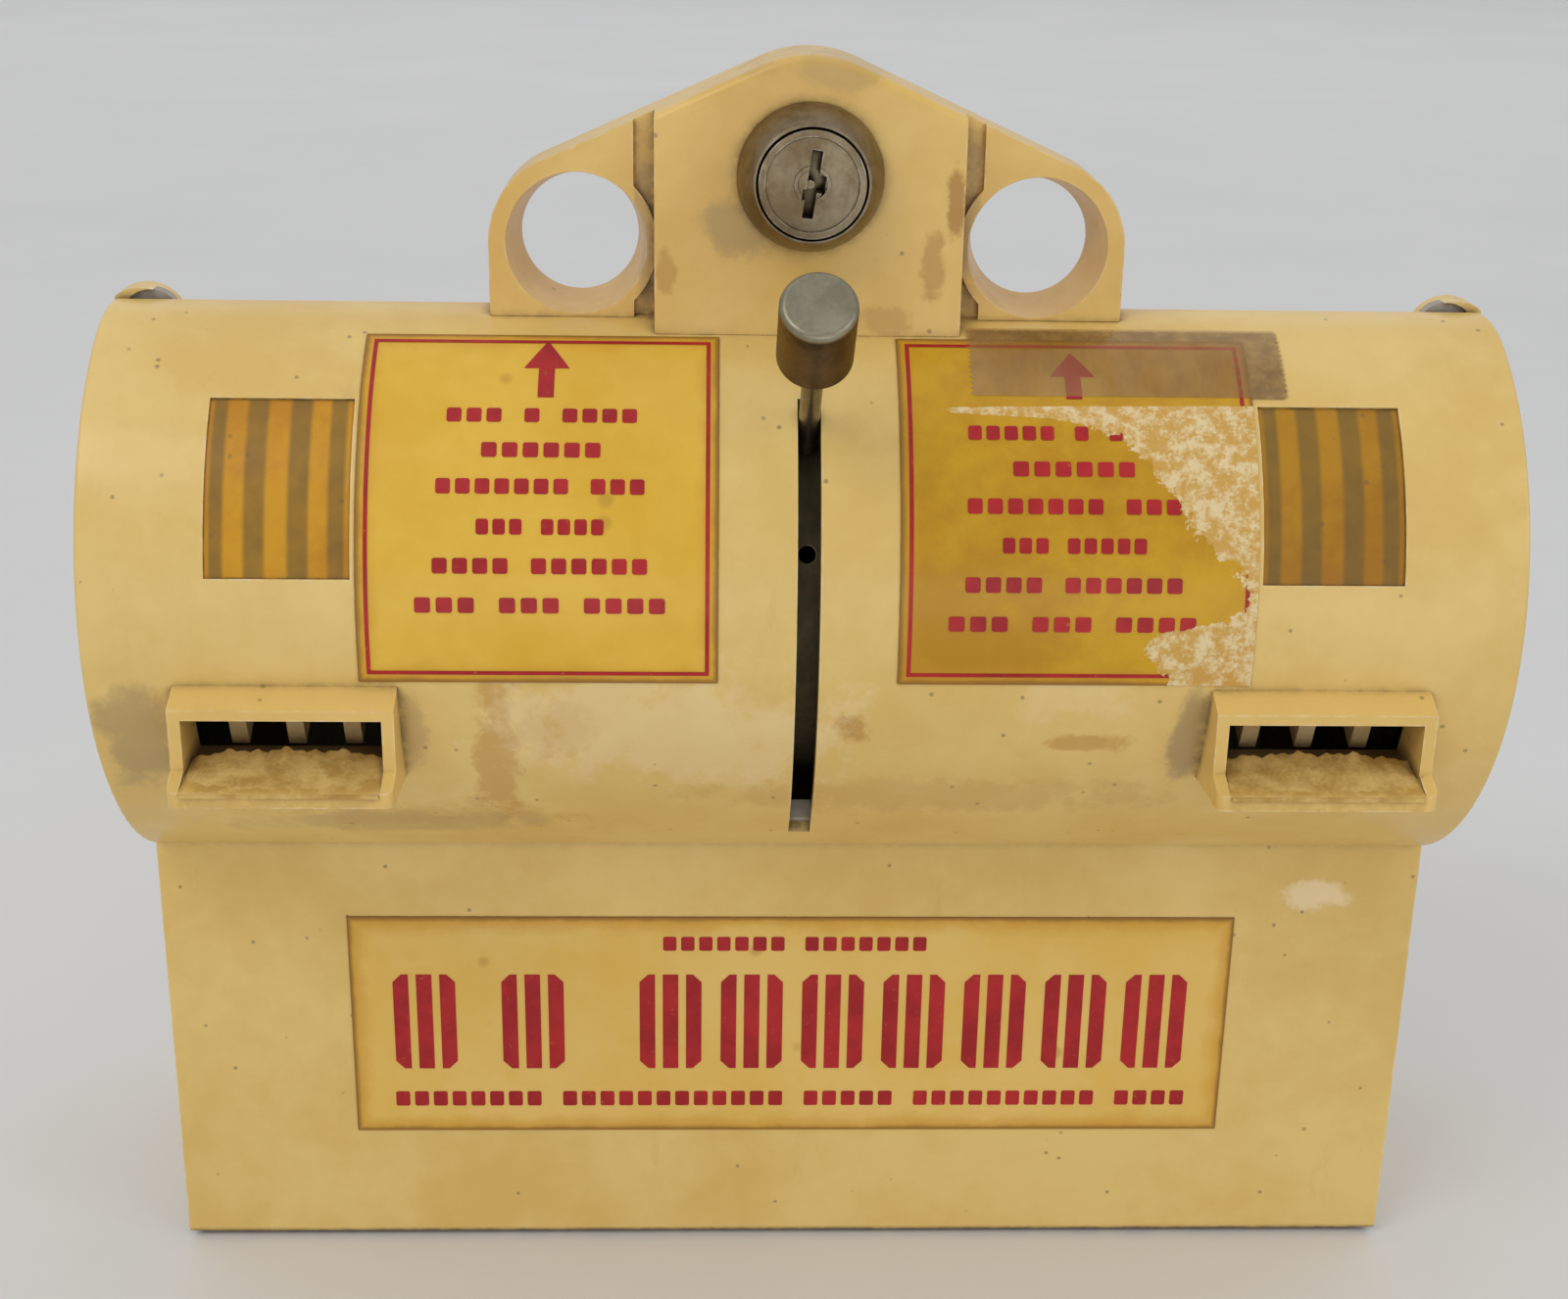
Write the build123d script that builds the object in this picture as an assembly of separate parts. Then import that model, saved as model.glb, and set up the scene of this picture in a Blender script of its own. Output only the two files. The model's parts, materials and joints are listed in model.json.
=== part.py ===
"""Coin-operated stamp vending machine: a drum-fronted cover with a lever, in front of a wall case.

Shapes are drawn from the front face of the lower panel: X is right, Y runs back from that face,
and Z is up from the bottom edge. write() then moves each piece so that the origin is the middle
of the case's bottom face.
"""
from math import acos, asin, atan2, cos, degrees, hypot, pi, radians, sin, sqrt
import os

from build123d import *

# ---------------------------------------------------------------- driving dimensions, millimetres
WIDTH = 216.0                # body width, 8 1/2 in
HALF = WIDTH / 2
ORIGIN_Y = 32.0              # the origin lies this far behind the panel's front face
WALL = 2.6                   # moulded cover wall
PANEL_T = 3.0                # lower panel thickness
RIM_Y = 3.0                  # rear rim of the cover
END_R = 0.7                  # rounding of the drum's two ends

# drum front: three tangent arcs about an axis that the lever shares
AXIS_Y, AXIS_Z = 12.8, 127.0
DRUM_R = 46.5
TOP_R, TOP_ANGLE = 22.0, 62.0
LOW_R, LOW_ANGLE = 58.5, -25.0

# rear case
CASE_HALF = 107.4
CASE_FRONT, CASE_BACK = 3.4, 62.0
CASE_TOP_FRONT, CASE_TOP_BACK = 170.2, 158.2
CASE_WALL = 2.4
CUP_X, CUP_Z, CUP_R, CUP_BACK = 104.0, 166.0, 6.3, 9.0
BUFFER_X, BUFFER_Z, BUFFER_R = 102.5, 167.6, 4.4
WALL_HOLE_X, WALL_HOLE_Z, WALL_HOLE_SPAN, WALL_HOLE_R = 70.0, 90.0, 100.0, 2.5

# door hinge along the panel's rounded bottom edge
HINGE_Y, HINGE_Z, HINGE_R = 1.8, 2.1, 0.5
KNUCKLE, KNUCKLE_R, HINGE_SKIN = 1.8, 1.1, 0.4

# crest with the lock block and the two coin rings
CREST_BACK, BLOCK_FRONT, EAR_FRONT, RECESS_FRONT = 8.0, -8.5, -4.0, -2.8
BLOCK_HALF, RECESS_HALF = 23.4, 26.6
APEX_R, APEX_Z = 18.0, 210.1
RING_X, RING_Z, RING_BAND_R, EAR_R = 35.4, 181.3, 12.4, 13.4
RING_R_FRONT, RING_R_BACK = 10.8, 9.15

# lock
LOCK_Z, BEZEL_R, BEZEL_NOSE_R, PLUG_R, BARREL_R = 192.4, 11.05, 8.7, 7.95, 9.5
PLUG_FRONT, BARREL_BACK = -16.5, 10.8
CAM_Y0, CAM_Y1, CAM_LENGTH, CAM_WIDTH = 11.2, 13.2, 26.0, 10.0

# windows, labels and chutes, for the right-hand side
WINDOW_X, WINDOW_A = (67.7, 89.1), (11.8, 46.1)
LABEL_X, LABEL_A, LABEL_T = (13.5, 67.0), (-7.7, 61.8), 0.2
NAME_HALF, NAME_Z = 76.7, (22.4, 64.7)
CHUTE_X = (61.4, 94.8)
CHUTE_MID = sum(CHUTE_X) / 2
CHUTE_WALL = 1.9
SLEEVE_Z = (104.6, 118.9)

# lever
LEVER_A = 43.0
STEM_R, KNOB_R, KNOB_FROM, KNOB_TO = 1.59, 5.55, 64.5, 78.5
SLOT_HALF, SLOT_A = 1.75, (-56.0, 47.0)
SHIELD_R, SHIELD_T, SHIELD_A, SHIELD_HALF = 36.5, 0.8, (-58.0, 141.0), 6.0
SHAFT_R, HUB_R = 3.175, 9.0
RUNNING = 0.075              # radial clearance of a turning fit

# stamp feed
STAMP_X = (66.0, 90.2)
GUIDE_R, GUIDE_T = 39.6, 1.4
PAPER_R, PAPER_T = 41.1, 0.2
FEED_R, FEED_CORE_R, FEED_X = 28.8, 27.4, (68.0, 88.0)
ROLLER_R, ROLLER_PIN_R, ROLLER_A, NIP_GAP = 5.0, 1.5, 140.0, 0.5
ROLL_Y, ROLL_Z, ROLL_R, SPINDLE_R = 27.0, 36.0, 20.0, 4.95
RATCHET_R, RATCHET_TEETH, RATCHET_X = 16.0, 24, (60.5, 63.5)
PLATE_T, INNER_PLATE_X, OUTER_PLATE_X = 1.5, 8.0, 97.0

# coin path
FUNNEL_HALF, CHUTE_SLOT = 10.8, 2.4
FUNNEL_Y, TUBE_Y = 8.7, 17.0
FUNNEL_TOP, TUBE_TOP, TUBE_BOTTOM = 168.5, 150.0, 46.0
BOX_HALF, BOX_Y, BOX_TOP, BOX_WALL = 56.0, (8.0, 52.0), 42.0, 1.5


# ---------------------------------------------------------------- helpers
def polar(r, a, cy=AXIS_Y, cz=AXIS_Z):
    """Point (y, z) at radius r, with a in degrees up from straight ahead."""
    return (cy - r * cos(radians(a)), cz + r * sin(radians(a)))


def block(x0, x1, y0, y1, z0, z1):
    return Pos((x0 + x1) / 2, (y0 + y1) / 2, (z0 + z1) / 2) * Box(x1 - x0, y1 - y0, z1 - z0)


def rod_x(r, x0, x1, y, z):
    return Pos((x0 + x1) / 2, y, z) * Rot(0, 90, 0) * Cylinder(r, x1 - x0)


def rod_y(r, y0, y1, x, z):
    return Pos(x, (y0 + y1) / 2, z) * Rot(90, 0, 0) * Cylinder(r, y1 - y0)


def tube_x(r_in, r_out, x0, x1, y, z):
    return rod_x(r_out, x0, x1, y, z) - rod_x(r_in, x0 - 1, x1 + 1, y, z)


def prism_x(edges, x0, x1):
    """Solid from closed (y, z) edges, between two X planes."""
    face = make_face(Wire(edges))
    return extrude(Plane.YZ.offset(x0) * face, x1 - x0, dir=(1, 0, 0))


def poly_x(points, x0, x1):
    return prism_x(Polyline(*points, close=True).edges(), x0, x1)


def arc(r, a0, a1, cy=AXIS_Y, cz=AXIS_Z):
    mid = (a0 + a1) / 2
    return ThreePointArc(polar(r, a0, cy, cz), polar(r, mid, cy, cz), polar(r, a1, cy, cz))


def sector(r0, r1, a0, a1, x0, x1):
    """Piece of a ring about the drum's axis."""
    outer = arc(r1, a0, a1)
    inner = arc(r0, a1, a0)
    sides = [Line(polar(r1, a1), polar(r0, a1)), Line(polar(r0, a0), polar(r1, a0))]
    return prism_x([outer, sides[0], inner, sides[1]], x0, x1)


def ribbon(p, q, t, x0, x1):
    """Flat strip t thick from p to q in the (y, z) plane, on the left of the way from p to q."""
    length = hypot(q[0] - p[0], q[1] - p[1])
    n = (-(q[1] - p[1]) / length * t, (q[0] - p[0]) / length * t)
    return poly_x([p, q, (q[0] + n[0], q[1] + n[1]), (p[0] + n[0], p[1] + n[1])], x0, x1)


def radial_rod(r, r0, r1, a, x=0.0):
    """Round bar along a radius of the drum."""
    y, z = polar((r0 + r1) / 2, a)
    return Pos(x, y, z) * Rot(90 - a, 0, 0) * Cylinder(r, r1 - r0)


def handed(shape, side):
    return shape if side == "right" else mirror(shape, about=Plane.YZ)


def write(node, shape):
    export_step(Pos(0, -ORIGIN_Y, 0) * shape, f"parts/{node}.step")


# ---------------------------------------------------------------- cover
def drum_centres():
    """Centres of the top and the low arc, tangent to the drum's main arc."""
    top = polar(DRUM_R - TOP_R, TOP_ANGLE)
    low = polar(DRUM_R - LOW_R, LOW_ANGLE)
    return top, low


def drum_solid(inset, x_half, back):
    """The drum's front as a filled solid, inset from its outer face, closed at the plane y=back."""
    (ty, tz), (ly, lz) = drum_centres()
    foot_y = PANEL_T if inset else 0.0
    low_r = LOW_R - inset
    foot_z = lz - sqrt(low_r ** 2 - (foot_y - ly) ** 2)
    foot_angle = degrees(atan2(foot_z - lz, ly - foot_y))
    top_r = TOP_R - inset
    edges = [
        Line((back, tz + top_r), (ty, tz + top_r)),
        arc(top_r, 90, TOP_ANGLE, ty, tz),
        arc(DRUM_R - inset, TOP_ANGLE, LOW_ANGLE),
        arc(low_r, LOW_ANGLE, foot_angle, ly, lz),
        Line((foot_y, foot_z), (back, foot_z)),
        Line((back, foot_z), (back, tz + top_r)),
    ]
    return prism_x(edges, -x_half, x_half)


def lower_panel():
    """Flat panel with a round bottom edge that turns about the hinge line."""
    slab = block(-HALF, HALF, 0, PANEL_T, HINGE_Z, 80.4)
    edge = rod_x(PANEL_T / 2, -HALF, HALF, PANEL_T / 2, HINGE_Z)
    notch = block(HALF - 2.7, HALF + 1, HINGE_SKIN, PANEL_T + 1, 0, 4.6)
    bore = rod_x(HINGE_R + 0.05, 98, HALF - 2.5, HINGE_Y, HINGE_Z)
    cuts = notch + bore
    return slab + edge - cuts - mirror(cuts, about=Plane.YZ)


def front_cover():
    drum = drum_solid(0, HALF, RIM_Y)
    ends = drum.faces().sort_by(Axis.X)
    drum = fillet(ends[0].edges().filter_by(GeomType.CIRCLE), END_R)
    ends = drum.faces().sort_by(Axis.X)
    drum = fillet(ends[-1].edges().filter_by(GeomType.CIRCLE), END_R)
    shell = drum - drum_solid(WALL, HALF - WALL, RIM_Y + 5)
    shell = shell + lower_panel()
    shell -= sector(DRUM_R - 6, DRUM_R + 8, *SLOT_A, -SLOT_HALF, SLOT_HALF)
    opening = sector(DRUM_R - 6, DRUM_R + 3, *WINDOW_A, *WINDOW_X) + chute_aperture()
    return shell - opening - mirror(opening, about=Plane.YZ)


def chute_aperture():
    return block(CHUTE_X[0] + 1, CHUTE_X[1] - 1, -45, -15, *SLEEVE_Z)


def window_pane():
    return sector(DRUM_R - 2.2, DRUM_R - 0.4, *WINDOW_A, *WINDOW_X)


def instruction_label():
    return sector(DRUM_R, DRUM_R + LABEL_T, *LABEL_A, *LABEL_X)


def name_label():
    return block(-NAME_HALF, NAME_HALF, -LABEL_T, 0, *NAME_Z)


def exit_chute():
    """Hood, three-sided frame and sloping lip, with a sleeve through the cover."""
    x0, x1 = CHUTE_X
    outline = [(-20, 119.9), (-33.2, 119.9), (-38, 117.7), (-38, 108.2), (-42.5, 106.4),
               (-42.5, 104.0), (-27, 102.8), (-20, 102.8)]
    hood = poly_x(outline, x0, x1) - drum_solid(0, HALF, RIM_Y)
    sleeve = block(x0 + 1, x1 - 1, -34, -20, *SLEEVE_Z)
    body = hood + (sleeve & drum_solid(0, HALF, RIM_Y))
    body -= rod_x(DRUM_R - WALL - 0.3, x0, x1, AXIS_Y, AXIS_Z)
    throat = [(-46, 105.0), (-42.5, 106.4), (-38, 107.3), (-32, 107.2), (-20, 107.4),
              (-20, 117.3), (-38, 116.1), (-46, 116.1)]
    body -= poly_x(throat, x0 + CHUTE_WALL, x1 - CHUTE_WALL)
    tips = body.edges().filter_by(Axis.Z).sort_by(Axis.Y)[:2]
    return fillet(tips, 1.4)


def slot_bumper():
    return sector(DRUM_R - 3.4, DRUM_R - 0.4, SLOT_A[0], SLOT_A[0] + 3.6, -SLOT_HALF, SLOT_HALF)


# ---------------------------------------------------------------- crest and lock
def crest_outline():
    """(x, z) edges of the gable: apex arc, tangent lines and shoulders round the rings."""
    cz = APEX_Z - APEX_R
    span = hypot(RING_X, RING_Z - cz)
    g = asin((APEX_R - EAR_R) / span) + atan2(cz - RING_Z, RING_X)
    nx, nz = sin(g), cos(g)
    a = (APEX_R * nx, cz + APEX_R * nz)
    b = (RING_X + EAR_R * nx, RING_Z + EAR_R * nz)
    h = (pi / 2 + g) / 2
    m = (RING_X + EAR_R * sin(h), RING_Z + EAR_R * cos(h))
    side_x = RING_X + EAR_R

    def flip(p):
        return (-p[0], p[1])

    side = (side_x, RING_Z)
    foot = (side_x, 150.0)
    return [
        ThreePointArc(flip(a), (0, APEX_Z), a),
        Line(a, b),
        ThreePointArc(b, m, side),
        Line(side, foot),
        Line(foot, flip(foot)),
        Line(flip(foot), flip(side)),
        ThreePointArc(flip(side), flip(m), flip(b)),
        Line(flip(b), flip(a)),
    ]


def gable(y0, y1):
    face = make_face(Wire(crest_outline()))
    plane = Plane(origin=(0, y0, 0), x_dir=(1, 0, 0), z_dir=(0, -1, 0))
    return extrude(plane * face, y1 - y0, dir=(0, 1, 0))


def lock_crest():
    body = gable(RECESS_FRONT, CREST_BACK)
    plates = gable(EAR_FRONT, CREST_BACK) - block(-RECESS_HALF, RECESS_HALF, -20, 20, 150, 220)
    body += plates
    body += gable(BLOCK_FRONT, CREST_BACK) & block(-BLOCK_HALF, BLOCK_HALF, -20, 20, 150, 220)
    for s in (-1, 1):
        body += rod_y(RING_BAND_R, EAR_FRONT, CREST_BACK, s * RING_X, RING_Z)
    front_edges = body.faces().filter_by(Axis.Y).sort_by(Axis.Y)[0].edges()
    upper = [e for e in front_edges if e.center().Z > 160 and abs(e.center().X) < BLOCK_HALF - 1]
    body = fillet(upper, 1.4)
    for s in (-1, 1):
        depth = CREST_BACK - EAR_FRONT
        cone = Cone(RING_R_BACK, RING_R_FRONT, depth)
        body -= Pos(s * RING_X, (CREST_BACK + EAR_FRONT) / 2, RING_Z) * Rot(90, 0, 0) * cone
    body -= rod_y(BARREL_R, -20, 20, 0, LOCK_Z)
    body -= drum_solid(0, HALF, RIM_Y)
    return body - block(-HALF, HALF, RIM_Y - 0.01, 20, 100, 170.9)


def lock_bezel():
    """Convex nickel collar, hollow for the plug."""
    base, nose = BLOCK_FRONT, PLUG_FRONT + 0.2
    bore = PLUG_R + RUNNING
    mouth = PLUG_R + 0.35
    edges = [
        Line((bore, base), (BEZEL_R, base)),
        Line((BEZEL_R, base), (BEZEL_R, base - 0.8)),
        ThreePointArc((BEZEL_R, base - 0.8), (BEZEL_R - 0.9, nose + 3.2), (BEZEL_NOSE_R, nose)),
        Line((BEZEL_NOSE_R, nose), (mouth, nose)),
        Line((mouth, nose), (mouth, nose + 2.0)),
        Line((mouth, nose + 2.0), (bore, nose + 2.0)),
        Line((bore, nose + 2.0), (bore, base)),
    ]
    return Pos(0, 0, LOCK_Z) * revolve(make_face(Wire(edges)), Axis.Y, 360)


def lock_barrel():
    body = rod_y(BARREL_R, BLOCK_FRONT, BARREL_BACK, 0, LOCK_Z)
    return body - rod_y(PLUG_R + RUNNING, -30, 30, 0, LOCK_Z)


def lock_nut():
    face = RegularPolygon(12.4, 6)
    hexagon = extrude(Plane.XZ * face, 2.4, both=True)
    nut = Pos(0, CREST_BACK + 1.2, LOCK_Z) * hexagon
    nut &= block(-20, 20, CREST_BACK, CREST_BACK + 2.4, 150, 230)
    return nut - rod_y(BARREL_R, -30, 30, 0, LOCK_Z)


def lock_plug():
    plug = rod_y(PLUG_R, PLUG_FRONT, BARREL_BACK + 0.1, 0, LOCK_Z)
    plug += block(-3, 3, BARREL_BACK, CAM_Y1, LOCK_Z - 3, LOCK_Z + 3)
    plug -= rod_y(PLUG_R - 1.0, PLUG_FRONT - 1, PLUG_FRONT + 0.35, 0, LOCK_Z)
    hub = rod_y(2.7, PLUG_FRONT + 0.1, PLUG_FRONT + 1, 0, LOCK_Z)
    plug += hub - rod_y(2.2, PLUG_FRONT - 1, PLUG_FRONT + 0.35, 0, LOCK_Z)
    keyway = Box(1.6, 5, 10.0)
    keyway += Pos(1.2, 0, 0.2) * Box(1.4, 5, 2.6)
    keyway += Pos(-0.9, 0, -1.6) * Box(0.8, 5, 1.6)
    plug -= Pos(0, PLUG_FRONT + 2.4, LOCK_Z) * Rot(0, 8, 0) * keyway
    return plug + rod_y(0.6, PLUG_FRONT + 0.6, PLUG_FRONT + 6, -0.3, LOCK_Z)


def lock_cam():
    """Flat cam that points to the side at rest, with its screw."""
    half = CAM_WIDTH / 2
    arm = block(0, CAM_LENGTH - half, CAM_Y0, CAM_Y1, LOCK_Z - half, LOCK_Z + half)
    arm += rod_y(half, CAM_Y0, CAM_Y1, CAM_LENGTH - half, LOCK_Z)
    arm += rod_y(half + 1, CAM_Y0, CAM_Y1, 0, LOCK_Z)
    arm -= block(-3, 3, 0, 20, LOCK_Z - 3, LOCK_Z + 3)
    return arm + rod_y(4.2, CAM_Y1, CAM_Y1 + 2.0, 0, LOCK_Z)


# ---------------------------------------------------------------- lever
def main_shaft():
    shaft = rod_x(SHAFT_R, -101, 101, AXIS_Y, AXIS_Z)
    return shaft + tube_x(SHAFT_R - 0.5, 6.5, -23.6, -21.2, AXIS_Y, AXIS_Z)


def lever_hub():
    """Hub with the lever arm and two spokes that carry the curved shield."""
    hub = rod_x(HUB_R, -6.8, 6.8, AXIS_Y, AXIS_Z)
    for a in (LEVER_A, -45.0, 120.0):
        y, z = polar((HUB_R + SHIELD_R) / 2 - 1, a)
        bar = Box(4.4, 7.0, SHIELD_R - HUB_R + 2.0)
        hub += Pos(0, y, z) * Rot(90 - a, 0, 0) * bar
    hub &= rod_x(SHIELD_R, -6.8, 6.8, AXIS_Y, AXIS_Z)
    hub -= rod_x(SHAFT_R, -10, 10, AXIS_Y, AXIS_Z)
    return hub - radial_rod(STEM_R, 28, 60, LEVER_A)


def lever_stem():
    return radial_rod(STEM_R, 28, KNOB_FROM + 6, LEVER_A)


def lever_knob():
    knob = radial_rod(KNOB_R, KNOB_FROM, KNOB_TO, LEVER_A)
    rims = knob.edges().filter_by(GeomType.CIRCLE)
    outer = rims.sort_by(Axis.Z)[-1]
    knob = fillet(outer, 1.0)
    return knob - radial_rod(STEM_R, 28, KNOB_FROM + 6, LEVER_A)


def slot_shield():
    strip = sector(SHIELD_R, SHIELD_R + SHIELD_T, *SHIELD_A, -SHIELD_HALF, SHIELD_HALF)
    strip -= radial_rod(STEM_R, 30, 50, LEVER_A)
    return strip - radial_rod(1.35, 30, 50, 16.7)


def return_spring():
    """Close coils of the return spring on the shaft."""
    rings = []
    for i in range(6):
        rings.append(Pos(-11.4 - 1.7 * i, AXIS_Y, AXIS_Z) * Rot(0, 90, 0) * Torus(5.4, 0.7))
    return Compound(rings)


def drive_arm():
    """Arm on the shaft that carries the drive pawl's pivot."""
    x0, x1 = 56.0, 58.5
    arm = rod_x(8, x0, x1, AXIS_Y, AXIS_Z)
    y, z = polar(14, 200)
    arm += Pos((x0 + x1) / 2, y, z) * Rot(90 - 200, 0, 0) * Box(x1 - x0, 8, 18)
    y, z = polar(23, 200)
    arm += rod_x(4, x0, x1, y, z)
    arm += rod_x(1.6, x1, RATCHET_X[1], y, z)
    return arm - rod_x(SHAFT_R, x0 - 1, x1 + 1, AXIS_Y, AXIS_Z)


def drive_pawl():
    """Pawl with its nose just clear of the ratchet's teeth."""
    y, z = polar(23, 200)
    ny, nz = polar(RATCHET_R + 0.8, 168)
    body = poly_x([(y - 2.6, z - 1.8), (y + 2.6, z + 1.8), (ny + 1.6, nz + 1.4), (ny, nz)],
                  RATCHET_X[0] + 0.2, RATCHET_X[1] - 0.2)
    body += rod_x(3.2, RATCHET_X[0] + 0.2, RATCHET_X[1] - 0.2, y, z)
    return body - rod_x(1.6 + RUNNING, 50, 70, y, z)


# ---------------------------------------------------------------- stamp feed
def stamp_guide():
    """Curved plate under the window, with three comb ribs across the chute's throat."""
    guide = sector(GUIDE_R, GUIDE_R + GUIDE_T, -6, 72, *STAMP_X)
    for i in (-1, 0, 1):
        x = CHUTE_MID + 8.7 * i
        guide += sector(GUIDE_R - 1.2, GUIDE_R + 3.4, -27.0, -5, x - 1.3, x + 1.3)
    return guide


def hold_down():
    """Four spring fingers behind the window, between two cross bars."""
    r0, r1 = PAPER_R + 0.9, PAPER_R + 1.3
    mid = sum(WINDOW_X) / 2
    piece = sector(r0, r1, 52, 57, *STAMP_X) + sector(r0, r1, 5.5, 9, *STAMP_X)
    for offset, width in ((-8.2, 2.4), (-3.1, 3.1), (3.1, 3.1), (8.2, 2.4)):
        x = mid + offset
        piece += sector(r0, r1, 8.5, 52.5, x - width / 2, x + width / 2)
    return piece


def paper_tangents():
    """Angle where the strip leaves the feed drum, and the shared tangent's angle to the roll."""
    start = 72.0
    leave = start + degrees(acos((FEED_R + 0.1) / PAPER_R))
    dy, dz = ROLL_Y - AXIS_Y, ROLL_Z - AXIS_Z
    beta = degrees(acos((FEED_R - ROLL_R) / hypot(dy, dz))) + degrees(atan2(dz, dy))
    return start, leave, 180 - beta


def stamp_strip():
    """Paper strip from the roll, round the feed drum and down the guide."""
    x0, x1 = STAMP_X
    start, leave, back = paper_tangents()
    r = FEED_R + 0.1
    strip = sector(PAPER_R, PAPER_R + PAPER_T, -5, start, x0, x1)
    strip += ribbon(polar(r, leave), polar(PAPER_R, start), -PAPER_T, x0, x1)
    strip += sector(r, r + PAPER_T, leave - 0.5, back, x0, x1)
    top = polar(r, back)
    low = polar(ROLL_R + 0.3, back, ROLL_Y, ROLL_Z)
    return strip + ribbon(low, top, -PAPER_T, x0, x1)


def feed_drum():
    x0, x1 = FEED_X
    drum = tube_x(FEED_CORE_R - 2.4, FEED_CORE_R, x0, x1, AXIS_Y, AXIS_Z)
    drum += rod_x(FEED_CORE_R - 1, x0 + 8.5, x0 + 11.5, AXIS_Y, AXIS_Z)
    drum += rod_x(7, RATCHET_X[1], x1, AXIS_Y, AXIS_Z)
    for i in range(5):
        y, z = polar(16, 72 * i + 20)
        drum -= rod_x(4.6, x0, x1, y, z)
    return drum - rod_x(SHAFT_R + RUNNING, 50, 100, AXIS_Y, AXIS_Z)


def feed_tyres():
    x0, x1 = FEED_X
    first = tube_x(FEED_CORE_R, FEED_R, x0, x0 + 5, AXIS_Y, AXIS_Z)
    second = tube_x(FEED_CORE_R, FEED_R, x1 - 5, x1, AXIS_Y, AXIS_Z)
    return Compound([first, second])


def ratchet_wheel():
    step = 360 / RATCHET_TEETH
    points = []
    for i in range(RATCHET_TEETH):
        points.append(polar(RATCHET_R, i * step))
        points.append(polar(RATCHET_R - 1.8, i * step + 0.15 * step))
    wheel = poly_x(points, *RATCHET_X)
    return wheel - rod_x(SHAFT_R + RUNNING, 50, 100, AXIS_Y, AXIS_Z)


def press_roller():
    y, z = polar(FEED_R + NIP_GAP + ROLLER_R, ROLLER_A)
    roller = rod_x(ROLLER_R, *FEED_X, y, z)
    return roller + rod_x(ROLLER_PIN_R, INNER_PLATE_X - 0.6, OUTER_PLATE_X + 2.6, y, z)


def stamp_roll():
    x0, x1 = STAMP_X
    return tube_x(SPINDLE_R + RUNNING, ROLL_R, x0, x1, ROLL_Y, ROLL_Z)


def roll_spindle():
    pin = rod_x(SPINDLE_R, 62.6, 92.4, ROLL_Y, ROLL_Z)
    return pin + rod_x(7.5, 92.4, 93.6, ROLL_Y, ROLL_Z)


def roll_bracket():
    arm = poly_x([(PANEL_T, 26), (ROLL_Y, 28), (ROLL_Y, 44), (PANEL_T, 50)], 61.0, 62.6)
    arm += rod_x(8, 61.0, 62.6, ROLL_Y, ROLL_Z)
    return arm + block(52.0, 61.0, PANEL_T, PANEL_T + 1.6, 26, 50)


# ---------------------------------------------------------------- mechanism frame
def bearing_plate(x, foot_dir):
    """Upright plate with a foot on the panel and holes for the shaft and the roller pin."""
    outline = [(PANEL_T, 54), (12, 54), (34, 108), (45, 138), (45, 152), (36, 155), (4, 155),
               (-14, 146), (-14, 112), (PANEL_T, 86)]
    plate = poly_x(outline, x, x + PLATE_T)
    foot0 = x + PLATE_T if foot_dir > 0 else x - 8
    plate += block(foot0, foot0 + 8, PANEL_T, PANEL_T + 1.6, 54, 78)
    plate -= rod_x(SHAFT_R + 1.9, x - 1, x + PLATE_T + 1, AXIS_Y, AXIS_Z)
    y, z = polar(FEED_R + NIP_GAP + ROLLER_R, ROLLER_A)
    plate -= rod_x(ROLLER_PIN_R + RUNNING, x - 1, x + PLATE_T + 1, y, z)
    return plate - rod_x(2.0, x - 1, x + PLATE_T + 1, 10.5, 66)


def tie_rod():
    return rod_x(2.0, -100, 100, 10.5, 66)


def shaft_bushes():
    bushes = []
    for x in (INNER_PLATE_X, OUTER_PLATE_X):
        bush = tube_x(SHAFT_R + RUNNING, SHAFT_R + 1.9, x - 0.5, x + PLATE_T, AXIS_Y, AXIS_Z)
        bushes.append(bush)
        bushes.append(mirror(bush, about=Plane.YZ))
    return Compound(bushes)


def plate_screws():
    screws = []
    for x in (INNER_PLATE_X + PLATE_T + 4, OUTER_PLATE_X - 4):
        for z in (59, 73):
            for s in (-1, 1):
                screws.append(rod_y(2.4, PANEL_T + 1.6, PANEL_T + 3.2, s * x, z))
    for z in (31, 45):
        for s in (-1, 1):
            screws.append(rod_y(2.4, PANEL_T + 1.6, PANEL_T + 3.2, s * 56, z))
    return Compound(screws)


# ---------------------------------------------------------------- coin path
def coin_funnel():
    """Mouth behind the ring that narrows to a flat tube down to the coin box."""
    x0, x1 = RING_X - FUNNEL_HALF, RING_X + FUNNEL_HALF
    back = TUBE_Y + CHUTE_SLOT + 2.0
    outer = poly_x([(FUNNEL_Y, FUNNEL_TOP), (back, FUNNEL_TOP), (back, TUBE_BOTTOM),
                    (TUBE_Y, TUBE_BOTTOM), (TUBE_Y, TUBE_TOP), (FUNNEL_Y, FUNNEL_TOP - 3)], x0, x1)
    inner = poly_x([(FUNNEL_Y + 1.1, FUNNEL_TOP + 1), (back - 1, FUNNEL_TOP + 1),
                    (back - 1, TUBE_BOTTOM - 1), (TUBE_Y + 1, TUBE_BOTTOM - 1),
                    (TUBE_Y + 1, TUBE_TOP), (FUNNEL_Y + 1.1, FUNNEL_TOP - 2.6)],
                   x0 + 1, x1 - 1)
    return outer - inner


def coin_box():
    y0, y1 = BOX_Y
    box = block(-BOX_HALF, BOX_HALF, y0, y1, CASE_WALL, BOX_TOP)
    t = BOX_WALL
    return box - block(-BOX_HALF + t, BOX_HALF - t, y0 + t, y1 - t, CASE_WALL + t, BOX_TOP + 1)


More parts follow.
